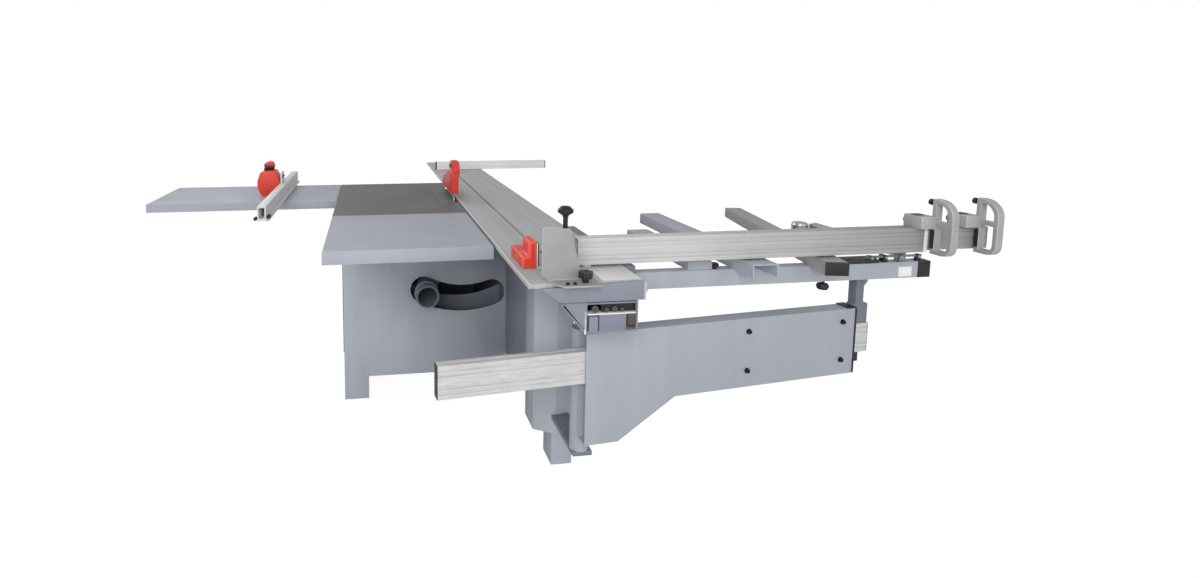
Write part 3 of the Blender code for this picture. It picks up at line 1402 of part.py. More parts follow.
def slider(name, stop_left):
    """Block that carries a flip stop along the fence's top, with a lip behind the fence."""
    right = stop_left - GAP
    left = right - SLIDER_LENGTH
    far = FENCE_Y + FENCE_THICK
    low = FENCE_TOP + GAP
    block = box(name, (left, FLIP_Y - 0.012, low), (right, far + 0.006, low + SLIDER_HEIGHT))
    lip_low = (left + 0.001, far + GAP, FENCE_TOP - 0.030)
    lip = box("lip", lip_low, (right - 0.001, far + 0.0055, low + 0.010))
    bore_at = (right - SLIDER_LENGTH * 0.5 - 0.002, FLIP_Y, FLIP_Z)
    bore = rod("bore", "X", bore_at, right + 0.010, STOP_PIN + RUN, 16)
    return block, lip, bore


def crosscut_fence():
    hole = rectangle(
        (FENCE_Y + FENCE_WALL, FENCE_UNDER + FENCE_WALL),
        (FENCE_Y + FENCE_THICK - FENCE_WALL, FENCE_TOP - FENCE_WALL),
    )
    rim = rectangle((FENCE_Y, FENCE_UNDER), (FENCE_Y + FENCE_THICK, FENCE_TOP))
    fence = slab("crosscut_fence", "YZ", rim, FENCE_LEFT, FENCE_RIGHT, [hole])
    foot = rod("foot", "Z", (*FENCE_PIVOT, TABLE_HEIGHT + GAP), FENCE_UNDER + 0.002, 0.018, 24)
    finish(fence, FENCE, ALU, joined=[foot])

    inner = FENCE_WALL + RUN
    core = box(
        "fence_extension",
        (EXTENSION_START, FENCE_Y + inner, FENCE_UNDER + inner),
        (EXTENSION_END, FENCE_Y + FENCE_THICK - inner, FENCE_TOP - inner),
    )
    finish(core, EXTENSION, ALU)

    block, lip, bore = slider("stop_slider_a", STOP_A_X)
    finish(block, SLIDER_A, CAST, joined=[lip], cut=[bore])
    block, lip, bore = slider("stop_slider_b", STOP_B_X)
    core_top = FENCE_TOP - inner
    pad = box(
        "pad",
        (STOP_B_X - SLIDER_LENGTH + 0.002, FENCE_Y + 0.008, core_top + GAP),
        (STOP_B_X - 0.002, FENCE_Y + FENCE_THICK - 0.008, FENCE_TOP + 0.004),
    )
    finish(block, EXTENSION, CAST, joined=[lip, pad], cut=[bore])
    flip_stop("flip_stop_a", FLIP_A, STOP_A_X)
    flip_stop("flip_stop_b", FLIP_B, STOP_B_X)


cabinet()
controls()
handwheel("height_handwheel", HEIGHT_WHEEL, HEIGHT_WHEEL_AT)
handwheel("tilt_handwheel", TILT_WHEEL, TILT_WHEEL_AT)
tables()
rip_fence()
tilting_unit()
lifting_unit()
guard()
stand()
swing_arm()
carriage()
outrigger()
crosscut_fence()
bpy.context.view_layer.update()
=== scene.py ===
"""Looks of a sliding panel saw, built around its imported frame.

Places are given in the machine's own directions: x from the carriage's blade-side edge towards the
outrigger, y from the carriage's outfeed end towards its infeed end, and z up from the floor.
"""

import json
import math
import bpy
from mathutils import Matrix, Vector


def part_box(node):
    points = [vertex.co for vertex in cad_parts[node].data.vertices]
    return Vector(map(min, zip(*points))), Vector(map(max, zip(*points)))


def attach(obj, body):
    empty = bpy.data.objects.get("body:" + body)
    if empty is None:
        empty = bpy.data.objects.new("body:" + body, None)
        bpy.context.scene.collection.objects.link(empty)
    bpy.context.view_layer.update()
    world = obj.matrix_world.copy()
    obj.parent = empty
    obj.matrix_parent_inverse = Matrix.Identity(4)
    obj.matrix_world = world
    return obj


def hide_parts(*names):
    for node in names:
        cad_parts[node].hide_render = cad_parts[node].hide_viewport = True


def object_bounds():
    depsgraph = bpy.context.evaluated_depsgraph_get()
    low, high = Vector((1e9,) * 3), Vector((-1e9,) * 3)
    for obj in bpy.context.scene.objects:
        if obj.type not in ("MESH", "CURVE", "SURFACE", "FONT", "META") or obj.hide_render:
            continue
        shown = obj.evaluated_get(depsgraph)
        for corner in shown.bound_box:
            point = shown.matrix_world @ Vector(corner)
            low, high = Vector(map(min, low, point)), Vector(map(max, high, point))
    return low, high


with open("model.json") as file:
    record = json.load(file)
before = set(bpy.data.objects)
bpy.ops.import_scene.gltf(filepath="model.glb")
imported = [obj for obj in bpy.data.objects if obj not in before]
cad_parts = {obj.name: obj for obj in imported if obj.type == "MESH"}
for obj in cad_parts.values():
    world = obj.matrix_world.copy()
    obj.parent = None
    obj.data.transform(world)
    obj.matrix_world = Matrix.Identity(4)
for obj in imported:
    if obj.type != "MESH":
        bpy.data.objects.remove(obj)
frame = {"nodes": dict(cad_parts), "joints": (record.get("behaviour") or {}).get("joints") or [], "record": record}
CAD_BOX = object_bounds()

CARRIAGE_LOW, CARRIAGE_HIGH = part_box("carriage_top")
CORNER = Vector((CARRIAGE_LOW.x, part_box("carriage_end_plate")[0].y, 0.0))
TABLE = CARRIAGE_HIGH.z
JOINTS = {joint["name"]: joint for joint in frame["joints"]}
ARM_PIVOT = Vector(JOINTS["arm_swing"]["pos_m"])
ARM_ANGLE = math.atan2(JOINTS["bar_slide"]["axis"][1], JOINTS["bar_slide"]["axis"][0])
SKIN = 0.0003  # how far a fitted piece stands off the surface under it
SMOOTH_UNDER = math.radians(38.0)  # faces that meet flatter than this are shaded as one curve
CROSS_BAR_TURN = math.radians(0.6)
ANGLED_BAR_TURN = math.radians(-13.4)
DUCT_RADIUS = 0.050
RAIL_RADIUS = 0.0225
GROOVE = 0.140  # from the carriage's blade side to the middle of its groove
KEY_HALF = 0.0057  # half the width of a key that slides in the groove
RIP_FOOT = 0.022  # width of the flange along the rip fence's foot


def at(x, y, z):
    """A point in the frame, from machine directions."""
    return Vector((CORNER.x + x, CORNER.y + y, z))


def machine_box(node):
    """A node's low and high corner in machine directions."""
    low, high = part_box(node)
    return low - CORNER, high - CORNER


# ---------------------------------------------------------------- shader groups
def new_group(name, inputs, outputs):
    tree = bpy.data.node_groups.new(name, "ShaderNodeTree")
    for socket_name, kind, value in inputs:
        socket = tree.interface.new_socket(socket_name, in_out="INPUT", socket_type=kind)
        socket.default_value = value
    for socket_name, kind in outputs:
        tree.interface.new_socket(socket_name, in_out="OUTPUT", socket_type=kind)
    return tree, tree.nodes.new("NodeGroupInput"), tree.nodes.new("NodeGroupOutput")


FLOAT = "NodeSocketFloat"
COLOUR = "NodeSocketColor"
VECTOR = "NodeSocketVector"


def noise(tree, coordinates, scale, detail=3.0, roughness=0.55):
    """A noise texture; scale is a number or a socket."""
    made = tree.nodes.new("ShaderNodeTexNoise")
    made.inputs["Detail"].default_value = detail
    made.inputs["Roughness"].default_value = roughness
    tree.links.new(coordinates, made.inputs["Vector"])
    if isinstance(scale, (int, float)):
        made.inputs["Scale"].default_value = scale
    else:
        tree.links.new(scale, made.inputs["Scale"])
    return made.outputs["Fac"]


def spread(tree, value, low, high, to_low, to_high):
    """Stretch a value from one range to another; the last two are numbers or sockets."""
    made = tree.nodes.new("ShaderNodeMapRange")
    tree.links.new(value, made.inputs["Value"])
    made.inputs["From Min"].default_value = low
    made.inputs["From Max"].default_value = high
    for socket, bound in (("To Min", to_low), ("To Max", to_high)):
        if isinstance(bound, (int, float)):
            made.inputs[socket].default_value = bound
        else:
            tree.links.new(bound, made.inputs[socket])
    return made.outputs["Result"]


def calculate(tree, operation, first, second):
    made = tree.nodes.new("ShaderNodeMath")
    made.operation = operation
    for socket, value in zip(made.inputs, (first, second)):
        if isinstance(value, (int, float)):
            socket.default_value = value
        else:
            tree.links.new(value, socket)
    return made.outputs[0]


def scaled(tree, colour, factor):
    """A colour made lighter or darker by a factor."""
    made = tree.nodes.new("ShaderNodeVectorMath")
    made.operation = "SCALE"
    tree.links.new(colour, made.inputs[0])
    tree.links.new(factor, made.inputs["Scale"])
    return made.outputs["Vector"]


def stretched(tree, coordinates, scale):
    """Coordinates stretched by a vector."""
    made = tree.nodes.new("ShaderNodeVectorMath")
    made.operation = "MULTIPLY"
    tree.links.new(coordinates, made.inputs[0])
    tree.links.new(scale, made.inputs[1])
    return made.outputs["Vector"]


def blended(tree, mask, first, second):
    made = tree.nodes.new("ShaderNodeMix")
    made.data_type = "RGBA"
    tree.links.new(mask, made.inputs["Factor"])
    for socket, value in ((made.inputs[6], first), (made.inputs[7], second)):
        if isinstance(value, tuple):
            socket.default_value = value
        else:
            tree.links.new(value, socket)
    return made.outputs[2]


def object_coordinates(tree):
    return tree.nodes.new("ShaderNodeTexCoord").outputs["Object"]


def paint_group():
    """Sprayed coating: cloudy patches, faint runs down the sheet, orange peel and fine dust specks."""
    tree, given, out = new_group(
        "sprayed_coating",
        [
            ("Colour", COLOUR, (0.4, 0.4, 0.45, 1.0)),
            ("Patches", FLOAT, 0.06),
            ("Peel Scale", FLOAT, 420.0),
            ("Gloss", FLOAT, 0.42),
        ],
        [("Colour", COLOUR), ("Roughness", FLOAT), ("Height", FLOAT)],
    )
    where = object_coordinates(tree)
    cloud = noise(tree, where, 2.3, 4.0)
    runs = tree.nodes.new("ShaderNodeMapping")
    runs.inputs["Scale"].default_value = (9.0, 9.0, 1.1)
    tree.links.new(where, runs.inputs["Vector"])
    streak = noise(tree, runs.outputs["Vector"], 2.0, 5.0, 0.65)
    mixed = calculate(tree, "ADD", cloud, streak)
    low = calculate(tree, "SUBTRACT", 1.0, given.outputs["Patches"])
    high = calculate(tree, "ADD", 1.0, given.outputs["Patches"])
    shade = spread(tree, mixed, 0.7, 1.3, low, high)
    speck = noise(tree, where, 900.0, 1.0)
    dust = spread(tree, speck, 0.72, 0.80, 1.0, 1.12)
    tree.links.new(scaled(tree, scaled(tree, given.outputs["Colour"], shade), dust), out.inputs["Colour"])
    handled = noise(tree, where, 7.0, 6.0, 0.7)
    rough_low = calculate(tree, "SUBTRACT", given.outputs["Gloss"], 0.07)
    rough_high = calculate(tree, "ADD", given.outputs["Gloss"], 0.12)
    tree.links.new(spread(tree, handled, 0.35, 0.68, rough_low, rough_high), out.inputs["Roughness"])
    tree.links.new(noise(tree, where, given.outputs["Peel Scale"], 2.0), out.inputs["Height"])
    return tree


def drawn_group():
    """Drawn or extruded metal: fine lines along one direction, faint handling smears."""
    tree, given, out = new_group(
        "drawn_lines",
        [
            ("Colour", COLOUR, (0.6, 0.6, 0.6, 1.0)),
            ("Stretch", VECTOR, (400.0, 2.0, 400.0)),
            ("Contrast", FLOAT, 0.1),
            ("Gloss", FLOAT, 0.35),
        ],
        [("Colour", COLOUR), ("Roughness", FLOAT), ("Height", FLOAT)],
    )
    where = object_coordinates(tree)
    lines = noise(tree, stretched(tree, where, given.outputs["Stretch"]), 1.0, 4.0, 0.7)
    smear = noise(tree, where, 5.0, 5.0, 0.6)
    low = calculate(tree, "SUBTRACT", 1.0, given.outputs["Contrast"])
    high = calculate(tree, "ADD", 1.0, given.outputs["Contrast"])
    lined = scaled(tree, given.outputs["Colour"], spread(tree, lines, 0.3, 0.7, low, high))
    tree.links.new(scaled(tree, lined, spread(tree, smear, 0.3, 0.75, 0.94, 1.05)), out.inputs["Colour"])
    fine = spread(tree, lines, 0.25, 0.75, -0.06, 0.08)
    marks = spread(tree, smear, 0.35, 0.7, -0.05, 0.10)
    worn = calculate(tree, "ADD", calculate(tree, "ADD", given.outputs["Gloss"], fine), marks)
    tree.links.new(worn, out.inputs["Roughness"])
    tree.links.new(lines, out.inputs["Height"])
    return tree


def cast_group():
    """Cast metal: coarse sandy grain with darker pits."""
    tree, given, out = new_group(
        "sand_cast",
        [
            ("Colour", COLOUR, (0.5, 0.5, 0.5, 1.0)),
            ("Grain Scale", FLOAT, 260.0),
            ("Pits", FLOAT, 0.25),
            ("Gloss", FLOAT, 0.5),
        ],
        [("Colour", COLOUR), ("Roughness", FLOAT), ("Height", FLOAT)],
    )
    where = object_coordinates(tree)
    grain = noise(tree, where, given.outputs["Grain Scale"], 4.0, 0.7)
    cells = tree.nodes.new("ShaderNodeTexVoronoi")
    tree.links.new(where, cells.inputs["Vector"])
    tree.links.new(given.outputs["Grain Scale"], cells.inputs["Scale"])
    dark = calculate(tree, "SUBTRACT", 1.0, given.outputs["Pits"])
    pitted = spread(tree, cells.outputs["Distance"], 0.02, 0.35, dark, 1.0)
    cloudy = spread(tree, noise(tree, where, 12.0, 4.0), 0.3, 0.7, 0.9, 1.08)
    tree.links.new(
        scaled(tree, scaled(tree, given.outputs["Colour"], pitted), cloudy), out.inputs["Colour"]
    )
    tree.links.new(
        calculate(tree, "ADD", given.outputs["Gloss"], spread(tree, grain, 0.3, 0.7, -0.08, 0.12)),
        out.inputs["Roughness"],
    )
    tree.links.new(grain, out.inputs["Height"])
    return tree


def moulded_group():
    """Moulded plastic: fine spark-eroded grain with rubbed, shinier places."""
    tree, given, out = new_group(
        "moulded_grain",
        [
            ("Colour", COLOUR, (0.1, 0.1, 0.1, 1.0)),
            ("Grain Scale", FLOAT, 900.0),
            ("Gloss", FLOAT, 0.4),
        ],
        [("Colour", COLOUR), ("Roughness", FLOAT), ("Height", FLOAT)],
    )
    where = object_coordinates(tree)
    grain = noise(tree, where, given.outputs["Grain Scale"], 2.0)
    rubbed = noise(tree, where, 14.0, 5.0, 0.65)
    tone = spread(tree, rubbed, 0.3, 0.7, 0.90, 1.10)
    tree.links.new(scaled(tree, given.outputs["Colour"], tone), out.inputs["Colour"])
    tree.links.new(
        calculate(tree, "ADD", given.outputs["Gloss"], spread(tree, rubbed, 0.3, 0.7, -0.08, 0.12)),
        out.inputs["Roughness"],
    )
    tree.links.new(grain, out.inputs["Height"])
    return tree


def edge_group():
    """Where an edge has been rubbed bright: broken patches of a second colour."""
    tree, given, out = new_group(
        "rubbed_edge",
        [
            ("Colour", COLOUR, (0.4, 0.4, 0.4, 1.0)),
            ("Bare", COLOUR, (0.6, 0.6, 0.6, 1.0)),
            ("Amount", FLOAT, 0.5),
        ],
        [("Colour", COLOUR), ("Mask", FLOAT)],
    )
    where = object_coordinates(tree)
    broken = noise(tree, where, 38.0, 6.0, 0.7)
    start = calculate(tree, "SUBTRACT", 0.75, calculate(tree, "MULTIPLY", given.outputs["Amount"], 0.4))
    above = calculate(tree, "SUBTRACT", broken, start)
    mask = spread(tree, above, 0.0, 0.08, 0.0, 0.8)
    tree.links.new(
        blended(tree, mask, given.outputs["Colour"], given.outputs["Bare"]), out.inputs["Colour"]
    )
    tree.links.new(mask, out.inputs["Mask"])
    return tree


PAINT_SKIN = paint_group()
DRAWN_SKIN = drawn_group()
CAST_SKIN = cast_group()
MOULDED_SKIN = moulded_group()
EDGE_RUB = edge_group()


# ---------------------------------------------------------------- finishes
def finish_from(
    name, skin, colour, metallic=0.0, bump=0.1, depth=0.0002, edge=None, shine=0.3, fade=None, **values
):
    """A material from one of the skins.

    edge = (bare colour, amount) adds rubbed patches; fade = (from X, to X, share left) darkens it along X, as
    painted shade.
    """
    made = bpy.data.materials.new(name)
    made.use_nodes = True
    tree = made.node_tree
    shader = tree.nodes["Principled BSDF"]
    shader.inputs["Metallic"].default_value = metallic
    shader.inputs["Specular IOR Level"].default_value = shine
    surface = tree.nodes.new("ShaderNodeGroup")
    surface.node_tree = skin
    surface.inputs["Colour"].default_value = (*colour, 1.0)
    for socket, value in values.items():
        surface.inputs[socket.replace("_", " ").title()].default_value = value
    shade = surface.outputs["Colour"]
    if edge:
        rub = tree.nodes.new("ShaderNodeGroup")
        rub.node_tree = EDGE_RUB
        tree.links.new(shade, rub.inputs["Colour"])
        rub.inputs["Bare"].default_value = (*edge[0], 1.0)
        rub.inputs["Amount"].default_value = edge[1]
        shade = rub.outputs["Colour"]
    # Painted shade: the colour is darkened along X.
    if fade:
        where = tree.nodes.new("ShaderNodeSeparateXYZ")
        tree.links.new(object_coordinates(tree), where.inputs[0])
        share = spread(tree, where.outputs["X"], fade[0], fade[1], 1.0, fade[2])
        shade = scaled(tree, shade, share)
    tree.links.new(shade, shader.inputs["Base Color"])
    tree.links.new(surface.outputs["Roughness"], shader.inputs["Roughness"])
    relief = tree.nodes.new("ShaderNodeBump")
    relief.inputs["Strength"].default_value = bump
    relief.inputs["Distance"].default_value = depth
    tree.links.new(surface.outputs["Height"], relief.inputs["Height"])
    tree.links.new(relief.outputs["Normal"], shader.inputs["Normal"])
    return made


def painted(name, tone, patches=0.06, gloss=0.42, bump=0.06, **values):
    return finish_from(name, PAINT_SKIN, tone, patches=patches, gloss=gloss, bump=bump, **values)


def drawn(name, tone, stretch, contrast, gloss, **values):
    return finish_from(name, DRAWN_SKIN, tone, stretch=stretch, contrast=contrast, gloss=gloss, **values)


def cast(name, tone, pits, gloss, bump, **values):
    return finish_from(name, CAST_SKIN, tone, pits=pits, gloss=gloss, bump=bump, **values)


def moulded(name, tone, gloss, bump=0.1, **values):
    return finish_from(name, MOULDED_SKIN, tone, gloss=gloss, bump=bump, **values)


def grey(tone):
    return (tone, tone, tone)


PAINT_TONE = (0.37, 0.395, 0.445)
BARE_STEEL = (0.62, 0.64, 0.68)
FINE_GRAIN = 320.0

PAINT = painted("grey_paint", PAINT_TONE)
PAINT_EDGE = painted("grey_paint_edge", (0.41, 0.44, 0.50), 0.05, 0.38, edge=(BARE_STEEL, 0.2))
# Painted shade: the cabinet's grey darkens towards higher X, standing for the shade of the arm and beam.
CABINET_PAINT_SHADED = painted("cabinet_paint_shaded", PAINT_TONE, fade=(-0.45, 0.05, 0.58))
# Painted shade: the same grey paint made darker for the arm.
ARM_PAINT_SHADED = painted("arm_paint_shaded", (0.325, 0.345, 0.39))
LILAC = painted("beam_core_paint", (0.19, 0.20, 0.255), 0.08)
# Painted light: the grey paint made much lighter for the saw unit, which sits in the cabinet's shade.
CARRIER_PAINT_LIT = painted("carrier_paint_lit", (0.58, 0.62, 0.68), 0.10, 0.5, 0.08)
PALE = painted("light_paint", (0.345, 0.365, 0.41), 0.06, 0.46, 0.05, shine=0.12)
PALE_EDGE = painted("light_paint_edge", (0.40, 0.42, 0.47), 0.05, 0.40, 0.05, edge=(BARE_STEEL, 0.2))
# Painted shade: darker copies of the grey paint, for sheets, posts and parts that lie in shade under the carriage
# and beam and inside the cabinet.
SHADE_PAINT = painted("grey_paint_in_shade", (0.21, 0.225, 0.27), 0.08, 0.45, 0.08)
SHADE_PAINT_EDGE = painted("grey_paint_in_shade_edge", (0.30, 0.32, 0.37), 0.08, 0.4, 0.08, edge=(BARE_STEEL, 0.3))
DEEP_SHADE_PAINT = painted("grey_paint_deep_shade", (0.15, 0.165, 0.205), 0.10, 0.45, 0.08)
DEEP_SHADE_EDGE = painted("grey_paint_deep_shade_edge", (0.22, 0.24, 0.28), 0.1, 0.4, 0.08, edge=(BARE_STEEL, 0.3))

IRON = drawn("ground_iron", (0.150, 0.150, 0.152), (60.0, 4.0, 60.0), 0.07, 0.48, shine=0.06)
IRON_EDGE = drawn("ground_iron_edge", (0.27, 0.27, 0.28), (420.0, 1.5, 420.0), 0.1, 0.40, metallic=0.3)
ROUGH_IRON = cast("cast_iron_bracket", (0.13, 0.13, 0.135), 0.3, 0.6, 0.35, metallic=0.2)
GREASY = cast("greasy_steel", (0.10, 0.085, 0.075), 0.35, 0.35, 0.3, metallic=0.4)
STEEL = drawn("turned_steel", (0.50, 0.50, 0.51), (300.0, 300.0, 8.0), 0.08, 0.28, metallic=0.85)
BLADE_STEEL = drawn("blade_steel", (0.46, 0.46, 0.47), (10.0, 240.0, 240.0), 0.12, 0.30, metallic=0.8)
BOLT_BLACK = cast("blackened_bolt", (0.02, 0.02, 0.022), 0.2, 0.40, 0.2, metallic=0.5)
ZINC = cast("zinc_bolt", (0.48, 0.48, 0.46), 0.1, 0.30, 0.1, metallic=0.8)

ALU_Y = drawn("anodised_lengthwise", grey(0.38), (90.0, 0.8, 90.0), 0.10, 0.44, shine=0.15)
# Painted reflection and shade: the fence's colour fades darker along X, from its blade end towards the outrigger.
FENCE_ALU = drawn("fence_anodised", grey(0.50), (0.8, 90.0, 90.0), 0.07, 0.40, fade=(0.35, 1.45, 0.50))
FENCE_ALU_DARK = drawn("extension_anodised", grey(0.30), (0.8, 90.0, 90.0), 0.07, 0.40)
RIBBED_ALU = drawn("ribbed_anodised", grey(0.50), (0.8, 150.0, 150.0), 0.14, 0.42)
RIP_ALU = drawn("rip_anodised", (0.60, 0.60, 0.61), (120.0, 0.8, 120.0), 0.08, 0.42)
BRIGHT_ALU = drawn("pale_anodised", grey(0.72), (0.8, 120.0, 120.0), 0.06, 0.42)
BRIGHT_ALU_Y = drawn("pale_anodised_lengthwise", (0.62, 0.62, 0.63), (120.0, 0.8, 120.0), 0.06, 0.40)
DULL_ALU_Y = drawn("dull_anodised_lengthwise", (0.30, 0.30, 0.31), (120.0, 0.8, 120.0), 0.08, 0.42, shine=0.2)
BENT_ALU = cast("bent_plate", grey(0.29), 0.08, 0.45, 0.12, grain_scale=FINE_GRAIN)
CAST_ALU = cast("cast_alloy", grey(0.40), 0.14, 0.42, 0.25, metallic=0.2, grain_scale=FINE_GRAIN)
CAST_ALU_EDGE = cast("cast_alloy_edge", grey(0.80), 0.08, 0.34, 0.15, metallic=0.3, grain_scale=FINE_GRAIN)
STOP_ALU = cast("stop_alloy", grey(0.33), 0.14, 0.42, 0.25, grain_scale=FINE_GRAIN)

DUCT = moulded("duct_plastic", (0.15, 0.17, 0.21), 0.45, 0.15)
RED = moulded("red_coating", (0.64, 0.045, 0.030), 0.36, 0.12, grain_scale=700.0)
RED_EDGE = moulded("red_coating_edge", (0.74, 0.085, 0.06), 0.30)
BLACK = moulded("black_plastic_grain", (0.018, 0.018, 0.019), 0.42, 0.2)
BLACK_EDGE = moulded("black_plastic_rubbed", (0.045, 0.045, 0.047), 0.33)
RUBBER = moulded("rubber_skin", grey(0.015), 0.75, 0.4, grain_scale=400.0)
GREEN = moulded("green_button", (0.02, 0.26, 0.06), 0.35)
BLANK_LABEL = moulded("blank_label", (0.70, 0.70, 0.66), 0.45, 0.04, grain_scale=1500.0)
DARK_GLASS = moulded("smoked_lid", (0.03, 0.03, 0.035), 0.22, 0.03)


# ---------------------------------------------------------------- modelling helpers
def choose(thing):
    """Make one object the only selected and active one."""
    bpy.ops.object.select_all(action="DESELECT")
    thing.select_set(True)
    bpy.context.view_layer.objects.active = thing
    return thing


def apply_place(thing):
    choose(thing)
    bpy.ops.object.transform_apply(location=True, rotation=True, scale=True)
    return thing


def apply_modifiers(thing):
    choose(thing)
    for modifier in list(thing.modifiers):
        bpy.ops.object.modifier_apply(modifier=modifier.name)
    return thing


def block(name, low, high):
    """A box between two corners of the machine."""
    low = at(*low)
    high = at(*high)
    bpy.ops.object.select_all(action="DESELECT")
    bpy.ops.mesh.primitive_cube_add(size=1.0, location=(low + high) / 2)
    made = bpy.context.object
    made.name = name
    made.scale = high - low
    return apply_place(made)


TURNS = {
    "X": Matrix.Rotation(math.radians(90.0), 3, "Y"),
    "Y": Matrix.Rotation(math.radians(-90.0), 3, "X"),
    "Z": Matrix.Identity(3),
}


def cylinder(name, axis, start, length, radius, sides=32):
    """A cylinder from start, a machine point, for a length along X, Y or Z."""
    turn = TURNS[axis]
    middle = at(*start) + turn @ Vector((0.0, 0.0, length / 2))
    bpy.ops.object.select_all(action="DESELECT")
    bpy.ops.mesh.primitive_cylinder_add(
        vertices=sides, radius=radius, depth=abs(length), location=middle, rotation=turn.to_euler()
    )
    made = bpy.context.object
    made.name = name
    return apply_place(made)


def spun(name, axis, start, profile, sides=40):
    """A turned piece: profile is (radius, distance along the axis from start), closed at both ends."""
    bpy.ops.object.select_all(action="DESELECT")
    bpy.ops.mesh.primitive_circle_add(vertices=len(profile), fill_type="NOTHING", location=(0.0, 0.0, 0.0))
    made = bpy.context.object
    made.name = name
    for vertex, (radius, along) in zip(made.data.vertices, profile):
        vertex.co = (radius, 0.0, along)
    bpy.ops.object.mode_set(mode="EDIT")
    bpy.ops.mesh.select_all(action="SELECT")
    bpy.ops.mesh.spin(
        steps=sides, angle=2 * math.pi, center=(0.0, 0.0, 0.0), axis=(0.0, 0.0, 1.0), use_auto_merge=True
    )
    bpy.ops.mesh.select_all(action="SELECT")
    bpy.ops.mesh.remove_doubles(threshold=0.00001)
    bpy.ops.mesh.dissolve_degenerate(threshold=0.00001)
    bpy.ops.mesh.normals_make_consistent(inside=False)
    bpy.ops.object.mode_set(mode="OBJECT")
    made.rotation_euler = TURNS[axis].to_euler()
    made.location = at(*start)
    return apply_place(made)


def extrusion(name, plane, outline, start, end):
    """A profile pushed along the direction its plane faces: outline points are in machine directions."""
    bpy.ops.object.select_all(action="DESELECT")
    bpy.ops.mesh.primitive_circle_add(vertices=len(outline), fill_type="NGON", location=(0.0, 0.0, 0.0))
    made = bpy.context.object
    made.name = name
    along = Vector({"XY": (0, 0, 1), "XZ": (0, 1, 0), "YZ": (1, 0, 0)}[plane])
    spots = {
        "XY": lambda a, b: (a, b, start),
        "XZ": lambda a, b: (a, start, b),
        "YZ": lambda a, b: (start, a, b),
    }[plane]
    for vertex, (a, b) in zip(made.data.vertices, outline):
        vertex.co = at(*spots(a, b))
    bpy.ops.object.mode_set(mode="EDIT")
    bpy.ops.mesh.select_all(action="SELECT")
    bpy.ops.mesh.extrude_region_move(TRANSFORM_OT_translate={"value": along * (end - start)})
    bpy.ops.mesh.select_all(action="SELECT")
    bpy.ops.mesh.normals_make_consistent(inside=False)
    bpy.ops.object.mode_set(mode="OBJECT")
    return made


def turn_about(thing, point, angle, axis="Z"):
    """Turn a shape about a line through a point."""
    turn = Matrix.Rotation(angle, 4, axis)
    thing.data.transform(Matrix.Translation(point) @ turn @ Matrix.Translation(-point))
    return thing


def carve(thing, operation, *others):
    """Cut others out of a piece, or weld them to it; the others are used up."""
    for other in others:
        step = thing.modifiers.new("carve", "BOOLEAN")
        step.operation = operation
        step.object = other
        step.solver = "EXACT"
        apply_modifiers(thing)
        bpy.data.objects.remove(other, do_unlink=True)
    return thing


def join(name, *things):
    """Make several shapes one object, each still closed."""
    bpy.ops.object.select_all(action="DESELECT")
    for thing in things:
        thing.select_set(True)
    bpy.context.view_layer.objects.active = things[0]
    bpy.ops.object.join()
    made = bpy.context.object
    made.name = name
    return made


def rounded(thing, width, segments=2, angle=30.0, edge_slot=False):
    """Round the piece's sharp edges; edge_slot gives the new faces the second material."""
    edge = thing.modifiers.new("rounding", "BEVEL")
    edge.width = width
    edge.segments = segments
    edge.limit_method = "ANGLE"
    edge.angle_limit = math.radians(angle)
    edge.harden_normals = False
    edge.material = 1 if edge_slot else -1
    apply_modifiers(thing)
    choose(thing)
    bpy.ops.object.shade_smooth_by_angle(angle=SMOOTH_UNDER)
    return thing


def dress(thing, material, edge=None):
    thing.data.materials.clear()
    thing.data.materials.append(material)
    if edge:
        thing.data.materials.append(edge)
    return thing


def fit(thing, body):
    """The finished piece rides on its body."""
    apply_place(thing)
    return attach(thing, body)


def piece(thing, material, body, width=0.001, edge=None, segments=2, angle=30.0):
    """Give a new shape its finish, round its edges and fit it."""
    dress(thing, material, edge)
    if width:
        rounded(thing, width, segments, angle, edge is not None)
    return fit(thing, body)


BODY_OF = {
    node: body for body, nodes in frame["record"]["behaviour"]["bodies"].items() for node in nodes
}


def turned(name, axis, start, profile, sides, body, material=BLACK):
    """A turned piece, fitted as it comes off the lathe."""
    return piece(spun(name, axis, start, profile, sides), material, body, 0.0)


def stand_in(thing, node, material, width=0.001, edge=None, segments=2, angle=30.0):
    """A new shape that shows in place of a CAD node."""
    piece(thing, material, BODY_OF[node], width, edge, segments, angle)
    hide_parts(node)
    return thing


def soften(node, material, width=0.0015, edge=None, segments=2, angle=30.0):
    """A copy of a CAD node with its faces merged and its edges rounded."""
    source = frame["nodes"][node]
    made = bpy.data.objects.new(node + "_body", source.data.copy())
    bpy.context.scene.collection.objects.link(made)
    choose(made)
    bpy.ops.object.mode_set(mode="EDIT")
    bpy.ops.mesh.select_all(action="SELECT")
    bpy.ops.mesh.remove_doubles(threshold=0.00002)
    bpy.ops.mesh.dissolve_limited(angle_limit=math.radians(0.7))
    bpy.ops.object.mode_set(mode="OBJECT")
    return stand_in(made, node, material, width, edge, segments, angle)


def moved_copy(thing, name, offset, body):
    """A copy of a finished piece with its own mesh, moved by a machine offset."""
    made = thing.copy()
    made.data = thing.data.copy()
    made.name = name
    made.parent = None
    bpy.context.scene.collection.objects.link(made)
    made.matrix_world = Matrix.Translation(Vector(offset))
    return fit(made, body)


def socket_bolt(name, axis, start, sign, radius, height):
    """Cap screw head with a hexagon recess, standing off a face in one direction."""
    head = cylinder(name, axis, start, sign * height, radius, 28)
    recess = cylinder(
        "recess",
        axis,
        tuple(c + (sign * height * 0.45 if "XYZ"[i] == axis else 0.0) for i, c in enumerate(start)),
        sign * height,
        radius * 0.52,
        6,
    )
    return carve(head, "DIFFERENCE", recess)


